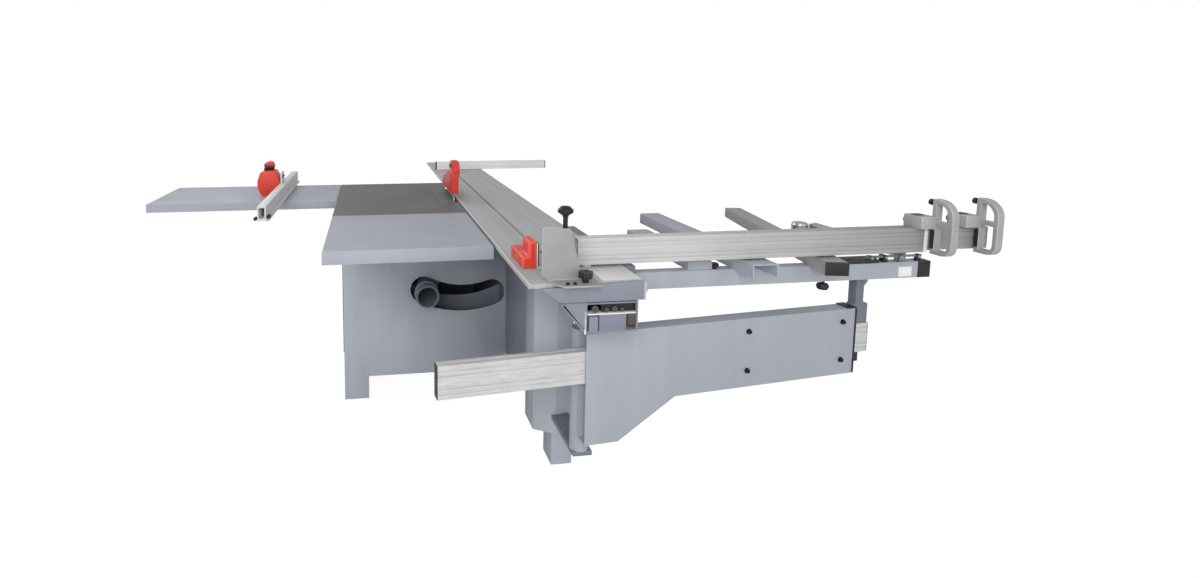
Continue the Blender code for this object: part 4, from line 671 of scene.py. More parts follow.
def bolts(base, places, axis, sign, radius, height, body, material=BOLT_BLACK):
    """A row of cap screws: the first is modelled and the rest are copies of it."""
    first = socket_bolt(base + "_1", axis, places[0], sign, radius, height)
    piece(first, material, body, min(radius, height) * 0.12)
    for number, place in enumerate(places[1:], 2):
        offset = Vector(place) - Vector(places[0])
        moved_copy(first, f"{base}_{number}", offset, body)


def ring_arc(centre, radius, start, end, steps):
    """Points along an arc, between two angles in degrees."""
    angles = [math.radians(start + (end - start) * i / steps) for i in range(steps + 1)]
    return [(centre[0] + radius * math.cos(a), centre[1] + radius * math.sin(a)) for a in angles]


def grooved(start, end, places, width, depth):
    """Points along one straight side of a profile, with square grooves cut into it.

    start and end are the side's ends; each place is how far along a groove's middle lies; the
    grooves go to the left of the way from start to end.
    """
    start = Vector(start)
    end = Vector(end)
    way = (end - start).normalized()
    inward = Vector((-way.y, way.x))
    points = [start]
    for place in places:
        a = start + way * (place - width / 2)
        b = start + way * (place + width / 2)
        points += [a, a + inward * depth, b + inward * depth, b]
    return [tuple(point) for point in points]


def grooved_bar(left, under, right, top, *sides):
    """A bar's rectangular profile; its bottom, right, top and left give (groove places, width, depth)."""
    corners = [(left, under), (right, under), (right, top), (left, top)]
    outline = []
    for i, (places, width, depth) in enumerate(sides):
        outline += grooved(corners[i], corners[(i + 1) % 4], places, width, depth)
    return outline


# ---------------------------------------------------------------- tables and cabinet
def cabinet():
    """The sheet-metal nodes and controls, with softened edges."""
    for node, width in (
        ("cabinet_near_panel", 0.0012), ("cabinet_far_panel", 0.0012), ("cabinet_base", 0.0015)
    ):
        soften(node, CABINET_PAINT_SHADED, width, PAINT_EDGE)
    soften("cabinet_door", PAINT, 0.0015, PAINT_EDGE)
    # The right panel and the brace take the darker paint as painted shade; the hinge post takes a darker one
    # still.
    soften("cabinet_right_panel", SHADE_PAINT, 0.001, SHADE_PAINT_EDGE)
    soften("column_brace", SHADE_PAINT, 0.0012, SHADE_PAINT_EDGE)
    soften("column", PAINT, 0.003, PAINT_EDGE)
    soften("hinge_post", DEEP_SHADE_PAINT, 0.0012, DEEP_SHADE_EDGE)
    soften("control_box", BLACK, 0.004, BLACK_EDGE, 3)
    soften("start_button", GREEN, 0.0012)
    soften("stop_button", RED, 0.0015)
    for node in ("height_handwheel", "tilt_handwheel"):
        soften(node, BLACK, 0.001, None, 2, 45.0)


def brace_plate():
    """A sheet that fills the brace between the cabinet and the column."""
    brace_low, brace_high = machine_box("column_brace")
    filler = extrusion(
        "brace_lower_plate",
        "YZ",
        [
            (brace_low.y + 0.002, brace_low.z),
            (brace_high.y - 0.0005, brace_low.z),
            (brace_high.y - 0.0005, brace_high.z - 0.010),
            (brace_low.y + 0.002, brace_high.z - 0.010),
        ],
        brace_low.x + 0.001,
        brace_high.x - 0.001,
    )
    piece(filler, SHADE_PAINT, "frame", 0.0005)


def near_panel():
    """The curved plate behind the duct's slot, and the panel's screws."""
    low, high = machine_box("cabinet_near_panel")
    face = low.y
    tilt_axis = Vector(JOINTS["tilt"]["pos_m"]) - CORNER
    centre = (tilt_axis.x, tilt_axis.z)
    swing = 0.420  # from the tilt axis to the middle of the dust port
    inner = swing + 0.0535  # clears the port as the saw unit tilts
    outer = swing + 0.145
    depth = face + 0.200
    outline = ring_arc(centre, inner, -128.0, -60.0, 24) + ring_arc(centre, outer, -62.0, -126.0, 24)
    guide = extrusion("duct_guide_plate", "XZ", outline, depth, depth + 0.004)
    piece(guide, SHADE_PAINT, "frame", 0.0006)
    screws = [(x, face - SKIN, z) for x in (low.x + 0.020, high.x - 0.020) for z in (0.180, 0.640)]
    bolts("near_panel_screw", screws, "Y", -1, 0.0045, 0.0022, "frame", ZINC)


def door_fittings():
    """Edge strip, latch and louvres of the door."""
    door_low, door_high = machine_box("cabinet_door")
    strip = block(
        "door_edge_strip",
        (door_low.x - 0.0030, door_low.y + 0.0015, 0.235),
        (door_low.x - SKIN, door_low.y + 0.0140, door_high.z - 0.004),
    )
    piece(strip, BLACK, "door", 0.0008)
    middle = (door_low.z + door_high.z) / 2
    latch = block(
        "door_latch",
        (door_low.x - 0.012, door_high.y - 0.090, middle - 0.045),
        (door_low.x - SKIN, door_high.y - 0.060, middle + 0.045),
    )
    piece(latch, BLACK, "door", 0.004, BLACK_EDGE, 3)
    slots = [
        block(
            "louvre",
            (door_low.x - 0.0045, door_low.y + 0.250, door_low.z + 0.120 + 0.028 * i),
            (door_low.x - SKIN, door_high.y - 0.250, door_low.z + 0.132 + 0.028 * i),
        )
        for i in range(7)
    ]
    piece(join("door_louvres", *slots), PAINT, "door", 0.0035, PAINT_EDGE)


def controls():
    """The control box's blank plate and the handwheels' hub caps."""
    box_low, box_high = machine_box("control_box")
    plate = block(
        "control_plate",
        (box_low.x + 0.150, box_high.y + SKIN, box_low.z + 0.100),
        (box_high.x - 0.020, box_high.y + 0.0015, box_high.z - 0.020),
    )
    piece(plate, BLANK_LABEL, "frame", 0.0004)
    for node, body in (("height_handwheel", "height_wheel"), ("tilt_handwheel", "tilt_wheel")):
        low, high = machine_box(node)
        middle_x = (low.x + high.x) / 2
        middle_z = (low.z + high.z) / 2
        turned(
            node + "_hub_cap",
            "Y",
            (middle_x, high.y - 0.052, middle_z),
            [(0.0, 0.0), (0.015, 0.0), (0.015, 0.004), (0.011, 0.007), (0.0, 0.008)],
            28,
            body,
            STEEL,
        )


def tables():
    """The table tops and the rip fence's rail, with softened edges."""
    soften("main_table", IRON, 0.0018, IRON_EDGE)
    soften("table_insert", IRON, 0.0006, IRON_EDGE)
    soften("outfeed_table", PALE, 0.0012, PALE_EDGE)
    soften("wing_table", PALE, 0.0012, PALE_EDGE)
    soften("rip_rail", STEEL, 0.0012)


def rail_caps():
    """Round plugs in the rail's two ends."""
    low, high = machine_box("rip_rail")
    rail_y = high.y - RAIL_RADIUS
    rail_z = low.z + RAIL_RADIUS
    for name, x in (("rip_rail_cap_left", low.x - 0.004), ("rip_rail_cap_right", high.x - 0.006)):
        turned(
            name,
            "X",
            (x, rail_y, rail_z),
            [(0.0, 0.0), (0.019, 0.0), (0.0238, 0.003), (0.0238, 0.010), (0.0, 0.010)],
            32,
            "frame",
        )


def table_edges():
    """The main table's bolts and the wing table's edge strip."""
    main_low, main_high = machine_box("main_table")
    bolts(
        "table_bolt",
        [(main_low.x + 0.06 + 0.17 * i, main_high.y + SKIN, TABLE - 0.015) for i in range(3)],
        "Y",
        1,
        0.006,
        0.005,
        "frame",
    )
    wing_low, wing_high = machine_box("wing_table")
    lip = block(
        "wing_edge_strip",
        (wing_low.x + 0.004, wing_low.y - 0.0022, TABLE - 0.012),
        (wing_high.x - 0.004, wing_low.y - SKIN, TABLE - 0.007),
    )
    piece(lip, PAINT, "frame", 0.0006)


# ---------------------------------------------------------------- rip fence
def rip_lever():
    """The head's casting and the lever and black hub on it."""
    soften("rip_head", RED, 0.010, RED_EDGE, 3, 20.0)
    lever_low, lever_high = machine_box("rip_lever")
    foot = lever_low.z
    left = lever_low.x
    right = lever_high.x
    grip = extrusion(
        "rip_lever_grip",
        "XZ",
        [
            (left, foot + 0.024),
            (left + 0.008, foot + 0.018),
            (left + 0.030, foot + 0.018),
            (right - 0.010, foot + 0.006),
            (right, foot + 0.012),
            (right, foot + 0.036),
            (right - 0.012, foot + 0.050),
            (right - 0.030, foot + 0.052),
            (left + 0.012, foot + 0.042),
            (left, foot + 0.034),
        ],
        lever_low.y + 0.004,
        lever_high.y - 0.004,
    )
    stand_in(grip, "rip_lever", RED, 0.006, RED_EDGE, 3)
    middle = (lever_low.y + lever_high.y) / 2
    hub = cylinder("rip_lever_hub", "X", (left + 0.004, middle, foot + 0.016), 0.052, 0.0155, 28)
    piece(hub, BLACK, "lever", 0.002, BLACK_EDGE)


def rip_head_fittings():
    """Lock knob, the fence's clamp and the index window."""
    low, high = machine_box("rip_head")
    top = high.z
    turned(
        "rip_lock_knob",
        "Z",
        (low.x + 0.046, low.y + 0.016, top - SKIN),
        [
            (0.0, 0.0), (0.006, 0.0), (0.006, 0.004), (0.010, 0.006), (0.011, 0.013),
            (0.008, 0.018), (0.0, 0.019),
        ],
        32,
        "rip",
    )
    fence_low, fence_high = machine_box("rip_fence")
    plate = block(
        "rip_fence_clamp_plate",
        (fence_low.x + 0.004, low.y + 0.004, fence_high.z + SKIN),
        (fence_low.x + 0.012, low.y + 0.096, fence_high.z + 0.060),
    )
    piece(plate, BRIGHT_ALU_Y, "rip_fence", 0.0015)
    bolts(
        "rip_clamp_bolt",
        [(fence_low.x + 0.012 + SKIN, low.y + 0.025 + 0.05 * i, fence_high.z + 0.036) for i in range(2)],
        "X",
        1,
        0.006,
        0.005,
        "rip_fence",
    )
    pointer = block(
        "rip_index_window",
        (low.x + 0.045, low.y + 0.300, TABLE + 0.0415),
        (low.x + 0.080, low.y + 0.340, TABLE + 0.0450),
    )
    piece(pointer, DARK_GLASS, "rip", 0.001)


def rip_fence():
    """The fence's extrusion, its worn top and the glides in its grooves."""
    fence_low, fence_high = machine_box("rip_fence")
    x0 = fence_low.x
    x1 = fence_high.x - RIP_FOOT
    base = fence_low.z
    top = fence_high.z
    outline = [(x0, base), (x1 + 0.012, base), (x1 + 0.012, base + 0.004)]
    outline += grooved((x1, base + 0.006), (x1, top), [0.012, 0.040], 0.004, 0.0020)
    outline += [(x1, top), (x0, top)]
    outline += grooved((x0, top), (x0, base), [0.016, 0.046], 0.004, 0.0020)[:-1]
    shape = extrusion("rip_fence_profile", "XZ", outline, fence_low.y, fence_high.y)
    core = block(
        "core",
        (x0 + 0.006, fence_low.y - 0.01, base + 0.010),
        (x1 - 0.006, fence_high.y + 0.01, top - 0.006),
    )
    stand_in(carve(shape, "DIFFERENCE", core), "rip_fence", RIP_ALU, 0.0006)
    strip = block(
        "rip_fence_top_strip",
        (x0 + 0.001, fence_low.y + 0.004, top + SKIN / 3),
        (x1 - 0.001, fence_high.y - 0.004, top + 0.0008),
    )
    piece(strip, BRIGHT_ALU_Y, "rip_fence", 0.0003)
    for number, x in enumerate((x0 - 0.0105, x1 + 0.0105), 1):
        turned(
            f"rip_fence_glide_{number}",
            "Y",
            (x, fence_low.y + 0.010, base + 0.0185 if x > x1 else base + 0.009),
            [(0.0, 0.0), (0.006, 0.0), (0.0085, 0.002), (0.0085, 0.020), (0.006, 0.022), (0.0, 0.022)],
            24,
            "rip_fence",
        )


# ---------------------------------------------------------------- saw unit
def saw_unit():
    """The nodes of the saw unit, with softened edges."""
    soften("saw_carrier", CARRIER_PAINT_LIT, 0.0015, PAINT_EDGE)
    soften("dust_hood", CARRIER_PAINT_LIT, 0.001, PAINT_EDGE)
    soften("scoring_unit", ROUGH_IRON, 0.002)
    soften("trunnion_near", CARRIER_PAINT_LIT, 0.0015, PAINT_EDGE)
    soften("trunnion_far", ROUGH_IRON, 0.0015)
    soften("arbor_bracket", ROUGH_IRON, 0.0015)
    soften("saw_motor", DEEP_SHADE_PAINT, 0.002, DEEP_SHADE_EDGE)
    soften("drive_belt", RUBBER, 0.0008)
    soften("motor_pulley", STEEL, 0.001)
    soften("arbor_shaft", STEEL, 0.0006)
    soften("blade_nut", STEEL, 0.0010)
    soften("riving_knife", STEEL, 0.0004)
    soften("dust_duct", DUCT, 0.0006)
    soften("scoring_blade", BLADE_STEEL, 0.0003)


def dust_port():
    """The moulded collar round the duct's mouth."""
    low = machine_box("dust_duct")[0]
    radius = DUCT_RADIUS
    mouth = (low.x + radius, low.y, low.z + radius)
    turned(
        "dust_port_collar",
        "Y",
        mouth,
        [
            (radius + SKIN, 0.004), (radius + 0.004, 0.004), (radius + 0.004, 0.012),
            (radius + 0.0015, 0.014), (radius + 0.0015, 0.060), (radius + 0.007, 0.062),
            (radius + 0.007, 0.072), (radius + SKIN, 0.072),
        ],
        48,
        "tilting_unit",
        DUCT,
    )


def motor_fins():
    """Thin cooling rings round the motor's body."""
    low, high = machine_box("saw_motor")
    middle = (low + high) / 2
    reach = (high.z - low.z) / 2
    first = low.x + 0.045
    pitch = 0.016
    ring = [(reach - 0.004, 0.0), (reach + 0.004, 0.0), (reach + 0.004, 0.003), (reach - 0.004, 0.003)]
    fins = [spun("fin", "X", (first + pitch * i, middle.y, middle.z), ring, 40) for i in range(11)]
    piece(join("motor_fins", *fins), DEEP_SHADE_PAINT, "lifting_unit", 0.0)


def saw_blade():
    """The toothed disc with its bore and its four expansion slots."""
    teeth = 60
    blade_low, blade_high = machine_box("saw_blade")
    centre = ((blade_low.y + blade_high.y) / 2, (blade_low.z + blade_high.z) / 2)
    tip = (blade_high.z - blade_low.z) / 2
    outline = []
    for i in range(teeth):
        turn = 2 * math.pi * i / teeth
        for radius, lead in (
            (tip - 0.0004, 0.0), (tip - 0.0016, 0.30), (tip - 0.0075, 0.70), (tip - 0.0085, 0.92)
        ):
            angle = turn + lead * 2 * math.pi / teeth
            outline.append((centre[0] + radius * math.cos(angle), centre[1] + radius * math.sin(angle)))
    disc = extrusion("toothed_blade", "YZ", outline, blade_low.x + 0.0003, blade_high.x - 0.0003)
    bore = cylinder("bore", "X", (blade_low.x - 0.01, centre[0], centre[1]), 0.030, 0.0152, 32)
    slots = []
    for i in range(4):
        angle = math.radians(45.0 + 90.0 * i)
        slot = block(
            "slot",
            (blade_low.x - 0.01, centre[0] + tip - 0.030, centre[1] - 0.0008),
            (blade_high.x + 0.01, centre[0] + tip - 0.010, centre[1] + 0.0008),
        )
        slots.append(turn_about(slot, at(0.0, *centre), angle, "X"))
    stand_in(carve(disc, "DIFFERENCE", bore, *slots), "saw_blade", BLADE_STEEL, 0.0)


def guard_body(name, inset, floor, left, right):
    """The guard's skirt: its side outline drawn in by an inset and carried across its width."""
    low, high = machine_box("blade_guard")
    outline = [
        (low.y + inset, floor),
        (high.y - inset, floor),
        (high.y - inset, low.z + 0.050 - inset / 2),
        (low.y + 0.130, high.z - 0.060 - inset),
        (low.y + 0.040, high.z - 0.052 - inset),
        (low.y + inset, high.z - 0.058 - inset),
    ]
    return extrusion(name, "YZ", outline, left, right)


def guard_head(name, inset, floor, left, right):
    """The guard's raised head over the blade's front."""
    low, high = machine_box("blade_guard")
    outline = [
        (low.y + inset, floor),
        (low.y + 0.126 - inset, floor),
        (low.y + 0.108 - inset, high.z - inset),
        (low.y + 0.035, high.z - inset),
        (low.y + inset, high.z - 0.035),
    ]
    return extrusion(name, "YZ", outline, left, right)


def blade_guard():
    """A hollow guard: the skirt and the head welded together, then emptied from below."""
    low, high = machine_box("blade_guard")
    wall = 0.003
    waist = high.z - 0.074
    skirt_right = high.x - 0.007
    head_left = low.x + 0.010
    corner = 0.009
    shell = guard_body("guard_shell", 0.0, low.z, low.x, skirt_right)
    rounded(shell, corner, 4, 25.0)
    head = guard_head("head", 0.0, waist, head_left, high.x)
    rounded(head, corner, 4, 25.0)
    hollow = guard_body("hollow", wall, low.z - 0.020, low.x + wall, skirt_right - wall)
    head_hollow = guard_head("head_hollow", wall, waist - 0.030, head_left + wall, skirt_right - wall)
    carve(shell, "UNION", head)
    carve(shell, "DIFFERENCE", hollow, head_hollow)
    stand_in(shell, "blade_guard", RED, 0.0)
    turned(
        "guard_lock_knob",
        "X",
        (low.x + 0.0100, low.y + 0.062, high.z - 0.026),
        [(0.0, 0.0), (0.006, 0.0), (0.006, -0.006), (0.012, -0.008), (0.012, -0.009), (0.0, -0.0098)],
        24,
        "guard",
    )
    bolts(
        "guard_screw",
        [(low.x - SKIN, low.y + 0.030 + 0.29 * i, low.z + 0.030) for i in range(2)],
        "X",
        -1,
        0.005,
        0.003,
        "guard",
    )


# ---------------------------------------------------------------- carriage
def carriage_top():
    """The carriage's hollow extrusion, its end cap, its edge strip, and a paler patch on its near end as painted
    light.
    """
    low, high = machine_box("carriage_top")
    cap = 0.003
    top = high.z
    right = high.x
    side = [
        (low.x, top),
        (low.x, top - 0.014),
        (low.x + 0.040, top - 0.014),
        (low.x + 0.095, low.z),
        (right, low.z),
    ]
    side += grooved((right, low.z), (right, top), [0.016, 0.040], 0.008, 0.007)[1:]
    top_line = grooved(
        (right, top),
        (low.x, top),
        [0.020, 0.060, 0.120, right - 0.150, right - GROOVE, right - 0.112, right - 0.018],
        0.002,
        0.0007,
    )
    outline = side + top_line
    shape = extrusion("carriage_profile", "XZ", outline, low.y, high.y - cap)
    slot = block(
        "slot", (GROOVE - 0.006, low.y - 0.01, top - 0.012), (GROOVE + 0.006, high.y + 0.01, top + 0.01)
    )
    hollow = block(
        "hollow", (0.175, low.y - 0.01, low.z + 0.006), (right - 0.016, high.y + 0.01, top - 0.010)
    )
    carve(shape, "DIFFERENCE", slot, hollow)
    stand_in(shape, "carriage_top", ALU_Y, 0.0006)
    lip = top - 0.013
    end_outline = [(low.x, top), (low.x, lip), (0.040, lip), (0.095, low.z), (right, low.z), (right, top)]
    end = extrusion("carriage_end_cap", "XZ", end_outline, high.y - cap, high.y)
    piece(end, BLACK, "carriage", 0.001, BLACK_EDGE)

    strip = block(
        "carriage_edge_strip", (0.0005, low.y, top + SKIN / 6), (0.0050, high.y - cap, top + 0.0006)
    )
    piece(strip, BRIGHT_ALU_Y, "carriage", 0.0002)
    # Painted light: a paler plate over the near end of the carriage top, where it looks brighter.
    lit_patch = block(
        "carriage_end_lit_patch", (0.236, low.y + 0.004, top + SKIN / 6), (right - 0.002, 0.150, top + 0.0006)
    )
    piece(lit_patch, BRIGHT_ALU_Y, "carriage", 0.0002)


def carriage_end():
    """End plate, clamp plate and push handle."""
    soften("carriage_end_plate", SHADE_PAINT, 0.0012, SHADE_PAINT_EDGE)
    soften("clamp_plate", BENT_ALU, 0.001, CAST_ALU_EDGE)
    soften("push_handle", BLACK, 0.0006, None, 2, 40.0)
    foot = TABLE + 0.0046
    bolts(
        "clamp_plate_screw",
        [(0.112 + 0.022 * i, -0.020, foot) for i in range(2)],
        "Z",
        1,
        0.0055,
        0.006,
        "carriage",
    )


def star_knob():
    """A six-lobed grip on a stem, dimpled on top."""
    star_low, star_high = machine_box("star_knob")
    centre = (star_low + star_high) / 2
    lobes = 6
    radius = (star_high.x - star_low.x) / 2
    outline = []
    steps = 48
    for i in range(steps):
        angle = 2 * math.pi * i / steps
        reach = radius * (0.87 + 0.12 * math.cos(lobes * angle))
        outline.append((centre.x + reach * math.cos(angle), centre.y + reach * math.sin(angle)))
    grip = extrusion("star_grip", "XY", outline, star_high.z - 0.020, star_high.z)
    stem = cylinder(
        "stem", "Z", (centre.x, centre.y, star_low.z), star_high.z - 0.019 - star_low.z, 0.010, 28
    )
    dimple = cylinder("dimple", "Z", (centre.x, centre.y, star_high.z - 0.003), 0.010, 0.008, 28)
    carve(grip, "UNION", stem)
    stand_in(carve(grip, "DIFFERENCE", dimple), "star_knob", BLACK, 0.0012, BLACK_EDGE)


def edging_shoe():
    """The red boot, its plate in the groove and its clamp."""
    shoe_low, shoe_high = machine_box("edging_shoe")
    base = TABLE + SKIN
    reach = shoe_low.y + 0.084
    step = TABLE + 0.042
    left = shoe_low.x + 0.0005
    shank = shoe_low.x + 0.021
    right = shoe_low.x + 0.050
    boot = extrusion(
        "shoe_boot",
        "XZ",
        [
            (left, base), (right, base), (right, shoe_high.z), (shank, shoe_high.z), (shank, step),
            (left, step),
        ],
        shoe_low.y + 0.002,
        reach,
    )
    stand_in(boot, "edging_shoe", RED, 0.008, RED_EDGE, 4)
    heel = block("shoe_heel", (left, reach + SKIN, base), (right, shoe_high.y, step))
    piece(heel, RED, "shoe", 0.007, RED_EDGE, 4)
    slide = block(
        "shoe_slide_plate", (right + SKIN, shoe_low.y, base), (shoe_high.x, shoe_high.y, base + 0.006)
    )
    slide_key = block(
        "slide_key",
        (GROOVE - KEY_HALF, shoe_low.y + 0.004, shoe_low.z),
        (GROOVE + KEY_HALF, shoe_high.y - 0.004, base + 0.003),
    )
    piece(carve(slide, "UNION", slide_key), CAST_ALU, "shoe", 0.0008, CAST_ALU_EDGE)
    face = block(
        "shoe_edge_strip",
        (right + SKIN, shoe_low.y + 0.004, TABLE + 0.0068),
        (right + 0.0035, shoe_low.y + 0.034, TABLE + 0.084),
    )
    backing = block(
        "shoe_rubber_strip",
        (right + 0.0038, shoe_low.y + 0.004, TABLE + 0.0068),
        (right + 0.0075, shoe_low.y + 0.034, TABLE + 0.084),
    )
    piece(backing, RUBBER, "shoe", 0.0008)
    piece(face, BRIGHT_ALU, "shoe", 0.0006)
    turned(
        "shoe_clamp_knob",
        "Z",
        (GROOVE, shoe_low.y + 0.085, TABLE + 0.0066),
        [
            (0.0, 0.0), (0.012, 0.0), (0.009, 0.006), (0.009, 0.014), (0.018, 0.017),
            (0.019, 0.026), (0.014, 0.031), (0.0, 0.032),
        ],
        32,
        "shoe",
    )


def mitre_bar():
    """The mitre bar's extrusion with its key in the carriage's groove, and its end caps."""
    bar_low, bar_high = machine_box("mitre_bar")
    base = bar_low.z + 0.0123
    flank = ([0.016, 0.042], 0.004, 0.0025)
    bottom = ([0.023], 0.008, 0.006)
    top_face = ([0.014, 0.032], 0.006, 0.004)
    outline = grooved_bar(bar_low.y, base, bar_high.y, bar_high.z, bottom, flank, top_face, flank)
    bar = extrusion("mitre_bar_profile", "YZ", outline, bar_low.x + 0.006, bar_high.x - 0.006)
    key = block(
        "key",
        (GROOVE - KEY_HALF, bar_low.y + 0.004, bar_low.z),
        (GROOVE + KEY_HALF, bar_high.y - 0.004, base + 0.003),
    )
    stand_in(carve(bar, "UNION", key), "mitre_bar", BRIGHT_ALU, 0.0005)
    for name, x0, x1 in (
        ("mitre_bar_cap_left", bar_low.x, bar_low.x + 0.006),
        ("mitre_bar_cap_right", bar_high.x - 0.006, bar_high.x),
    ):
        cap_piece = block(name, (x0, bar_low.y, base), (x1, bar_high.y, bar_high.z))
        piece(cap_piece, BLACK, "mitre", 0.001, BLACK_EDGE)


def beam_end():
    """What shows at the slide beam's outfeed end; the fills are measured from the beam's low corner."""
    soften("slide_beam", SHADE_PAINT, 0.0012)
    low = machine_box("slide_beam")[0]
    face = low.y - 0.0025
    fills = (
        ("beam_end_block", (0.126, 0.213), (0.0065, 0.0580), 0.045, LILAC),
        ("beam_end_lip", (0.088, 0.244), (0.0585, 0.0625), 0.030, BRIGHT_ALU),
        ("beam_left_rim", (0.079, 0.084), (-0.0015, 0.0710), 0.0022, BRIGHT_ALU),
        ("beam_left_guide", (0.094, 0.122), (0.0065, 0.0530), 0.040, SHADE_PAINT),
        ("beam_right_guide", (0.217, 0.244), (0.0220, 0.0575), 0.040, GREASY),
        # Painted shadow: the black block stands in the shaded gap under the end plate.
        ("beam_gap_shadow_block", (0.136, 0.244), (0.0635, 0.0980), 0.050, BLACK),
    )
    for name, (x0, x1), (z0, z1), depth, material in fills:
        front = low.y + 0.010 if name == "beam_gap_shadow_block" else face
        back = low.y + depth if depth > 0.01 else face + depth
        shape = block(name, (low.x + x0, front, low.z + z0), (low.x + x1, back, low.z + z1))
        piece(shape, material, "frame", 0.0008)
    fold = low.x + 0.085
    edge = low.x + 0.087
    skirt = extrusion(
        "beam_skirt_plate",
        "XZ",
        [(low.x + 0.009, low.z + 0.100), (fold, low.z + 0.007), (edge, low.z + 0.007), (edge, low.z + 0.100)],
        face,
        face + 0.006,
    )
    piece(skirt, SHADE_PAINT, "frame", 0.0008)
    wheels = ((0.113, 0.012), (0.150, 0.008), (0.176, 0.010), (0.200, 0.007))
    for number, (x, radius) in enumerate(wheels, 1):
        turned(
            f"beam_guide_wheel_{number}",
            "Y",
            (low.x + x, face, low.z + 0.064 + radius),
            [
                (0.0, 0.0), (0.004, 0.0), (0.004, 0.002), (radius - 0.001, 0.003),
                (radius - 0.001, 0.011), (0.0, 0.011),
            ],
            28,
            "frame",
            GREASY,
        )


def index_hook():
    """The hook plate on the carriage's side that catches the index bolt."""
    side = CARRIAGE_HIGH.x - CORNER.x
    hook = block(
        "index_hook_plate", (side + 0.0006, 0.004, TABLE - 0.062), (side + 0.007, 0.036, TABLE - 0.007)
    )
    lip = block("lip", (side + 0.0065, 0.008, TABLE - 0.038), (side + 0.016, 0.030, TABLE - 0.032))
    piece(carve(hook, "UNION", lip), CAST_ALU, "carriage", 0.001, CAST_ALU_EDGE)
    bolts(
        "index_hook_bolt",
        [(side + 0.007 + SKIN, 0.020, TABLE - drop) for drop in (0.049, 0.018)],
        "X",
        1,
        0.005,
        0.005,
        "carriage",
    )


# ---------------------------------------------------------------- outrigger
RAIL_LOW, RAIL_HIGH = machine_box("near_rail")
RAIL_NEAR = RAIL_LOW.y
RAIL_END = RAIL_HIGH.x
RAIL_TOP = TABLE - 0.047
RAIL_UNDER = RAIL_TOP - 0.060


def outrigger():
    """The outrigger table's rails, bars and roller, with softened edges."""
    soften("near_rail", PALE, 0.003, PALE_EDGE, 3)
    soften("inner_rail", PALE, 0.003, PALE_EDGE, 3)
    soften("clamp_bar", DEEP_SHADE_PAINT, 0.002, DEEP_SHADE_EDGE)
    soften("support_roller", STEEL, 0.0008, None, 2, 50.0)
    soften("angled_bar", DULL_ALU_Y, 0.002)


def rail_end():
    """The near rail's cap and its bare sticker."""
    proud = 0.0006
    cap = block(
        "near_rail_end_cap",
        (RAIL_END - 0.052, RAIL_NEAR - proud, RAIL_UNDER - proud),
        (RAIL_END + 0.002, RAIL_NEAR + 0.040 + proud, RAIL_TOP + proud),
    )
    piece(cap, BLACK, "carriage", 0.002, BLACK_EDGE, 3)
    sticker = block(
        "blank_sticker",
        (RAIL_END - 0.130, RAIL_NEAR - 0.0007, RAIL_UNDER + 0.006),
        (RAIL_END - 0.076, RAIL_NEAR - SKIN / 2, RAIL_TOP - 0.018),
    )
    piece(sticker, BLANK_LABEL, "carriage", 0.0)


def rail_knobs():
    """The clamp's knob under the rail, the one on top and the index boss."""
    inner = machine_box("inner_rail")[0].y
    turned(
        "rail_clamp_knob",
        "Z",
        (RAIL_END - 0.417, RAIL_NEAR + 0.020, RAIL_UNDER - SKIN),
        [
            (0.0, 0.0), (0.006, 0.0), (0.006, -0.010), (0.018, -0.014), (0.021, -0.024),
            (0.017, -0.034), (0.0, -0.036),
        ],
        36,
        "carriage",
    )
    turned(
        "rail_top_knob",
        "Z",
        (RAIL_END - 0.847, RAIL_NEAR + 0.014, RAIL_TOP + SKIN),
        [
            (0.0, 0.0), (0.006, 0.0), (0.006, 0.005), (0.013, 0.007), (0.014, 0.016),
            (0.010, 0.021), (0.0, 0.022),
        ],
        32,
        "carriage",
    )
    turned(
        "index_boss",
        "Z",
        (RAIL_END - 0.154, inner + 0.020, RAIL_TOP + SKIN),
        [
            (0.0, 0.0), (0.0300, 0.0), (0.0335, 0.003), (0.0335, 0.034), (0.0300, 0.042),
            (0.026, 0.045), (0.0, 0.046),
        ],
        48,
        "carriage",
        STEEL,
    )


def stop_rail():
    """The stop rail on the near rail's end: plate, rod, lugs and their screws."""
    plate = extrusion(
        "stop_rail_plate",
        "XY",
        [
            (RAIL_END - 0.380, RAIL_NEAR + 0.060),
            (RAIL_END - 0.350, RAIL_NEAR - 0.004),
            (RAIL_END - 0.215, RAIL_NEAR - 0.004),
            (RAIL_END - 0.185, RAIL_NEAR + 0.060),
        ],
        RAIL_TOP + SKIN,
        RAIL_TOP + 0.012,
    )
    piece(plate, BLACK, "carriage", 0.002, BLACK_EDGE)
    rod_start = (RAIL_END - 0.255, RAIL_NEAR + 0.012, RAIL_TOP + 0.020)
    rod = cylinder("stop_rail_rod", "X", rod_start, 0.225, 0.0045, 20)
    piece(rod, SHADE_PAINT, "carriage", 0.0)
    lugs = ((0.240, 0.020), (0.180, 0.030), (0.120, 0.026), (0.045, 0.018))
    for number, (from_end, reach) in enumerate(lugs, 1):
        x = RAIL_END - from_end
        lug = block(
            f"stop_rail_lug_{number}",
            (x - 0.008, RAIL_NEAR + 0.004, RAIL_TOP + SKIN),
            (x + 0.008, RAIL_NEAR + reach, RAIL_TOP + 0.026),
        )
        piece(lug, SHADE_PAINT if number % 2 else BLACK, "carriage", 0.002, BLACK_EDGE)
        turned(
            f"stop_rail_screw_{number}",
            "Y",
            (x, RAIL_NEAR + 0.004 - SKIN, RAIL_TOP + 0.018),
            [(0.0, 0.0), (0.0055, 0.0), (0.0055, -0.003), (0.004, -0.005), (0.0, -0.005)],
            20,
            "carriage",
            ZINC,
        )


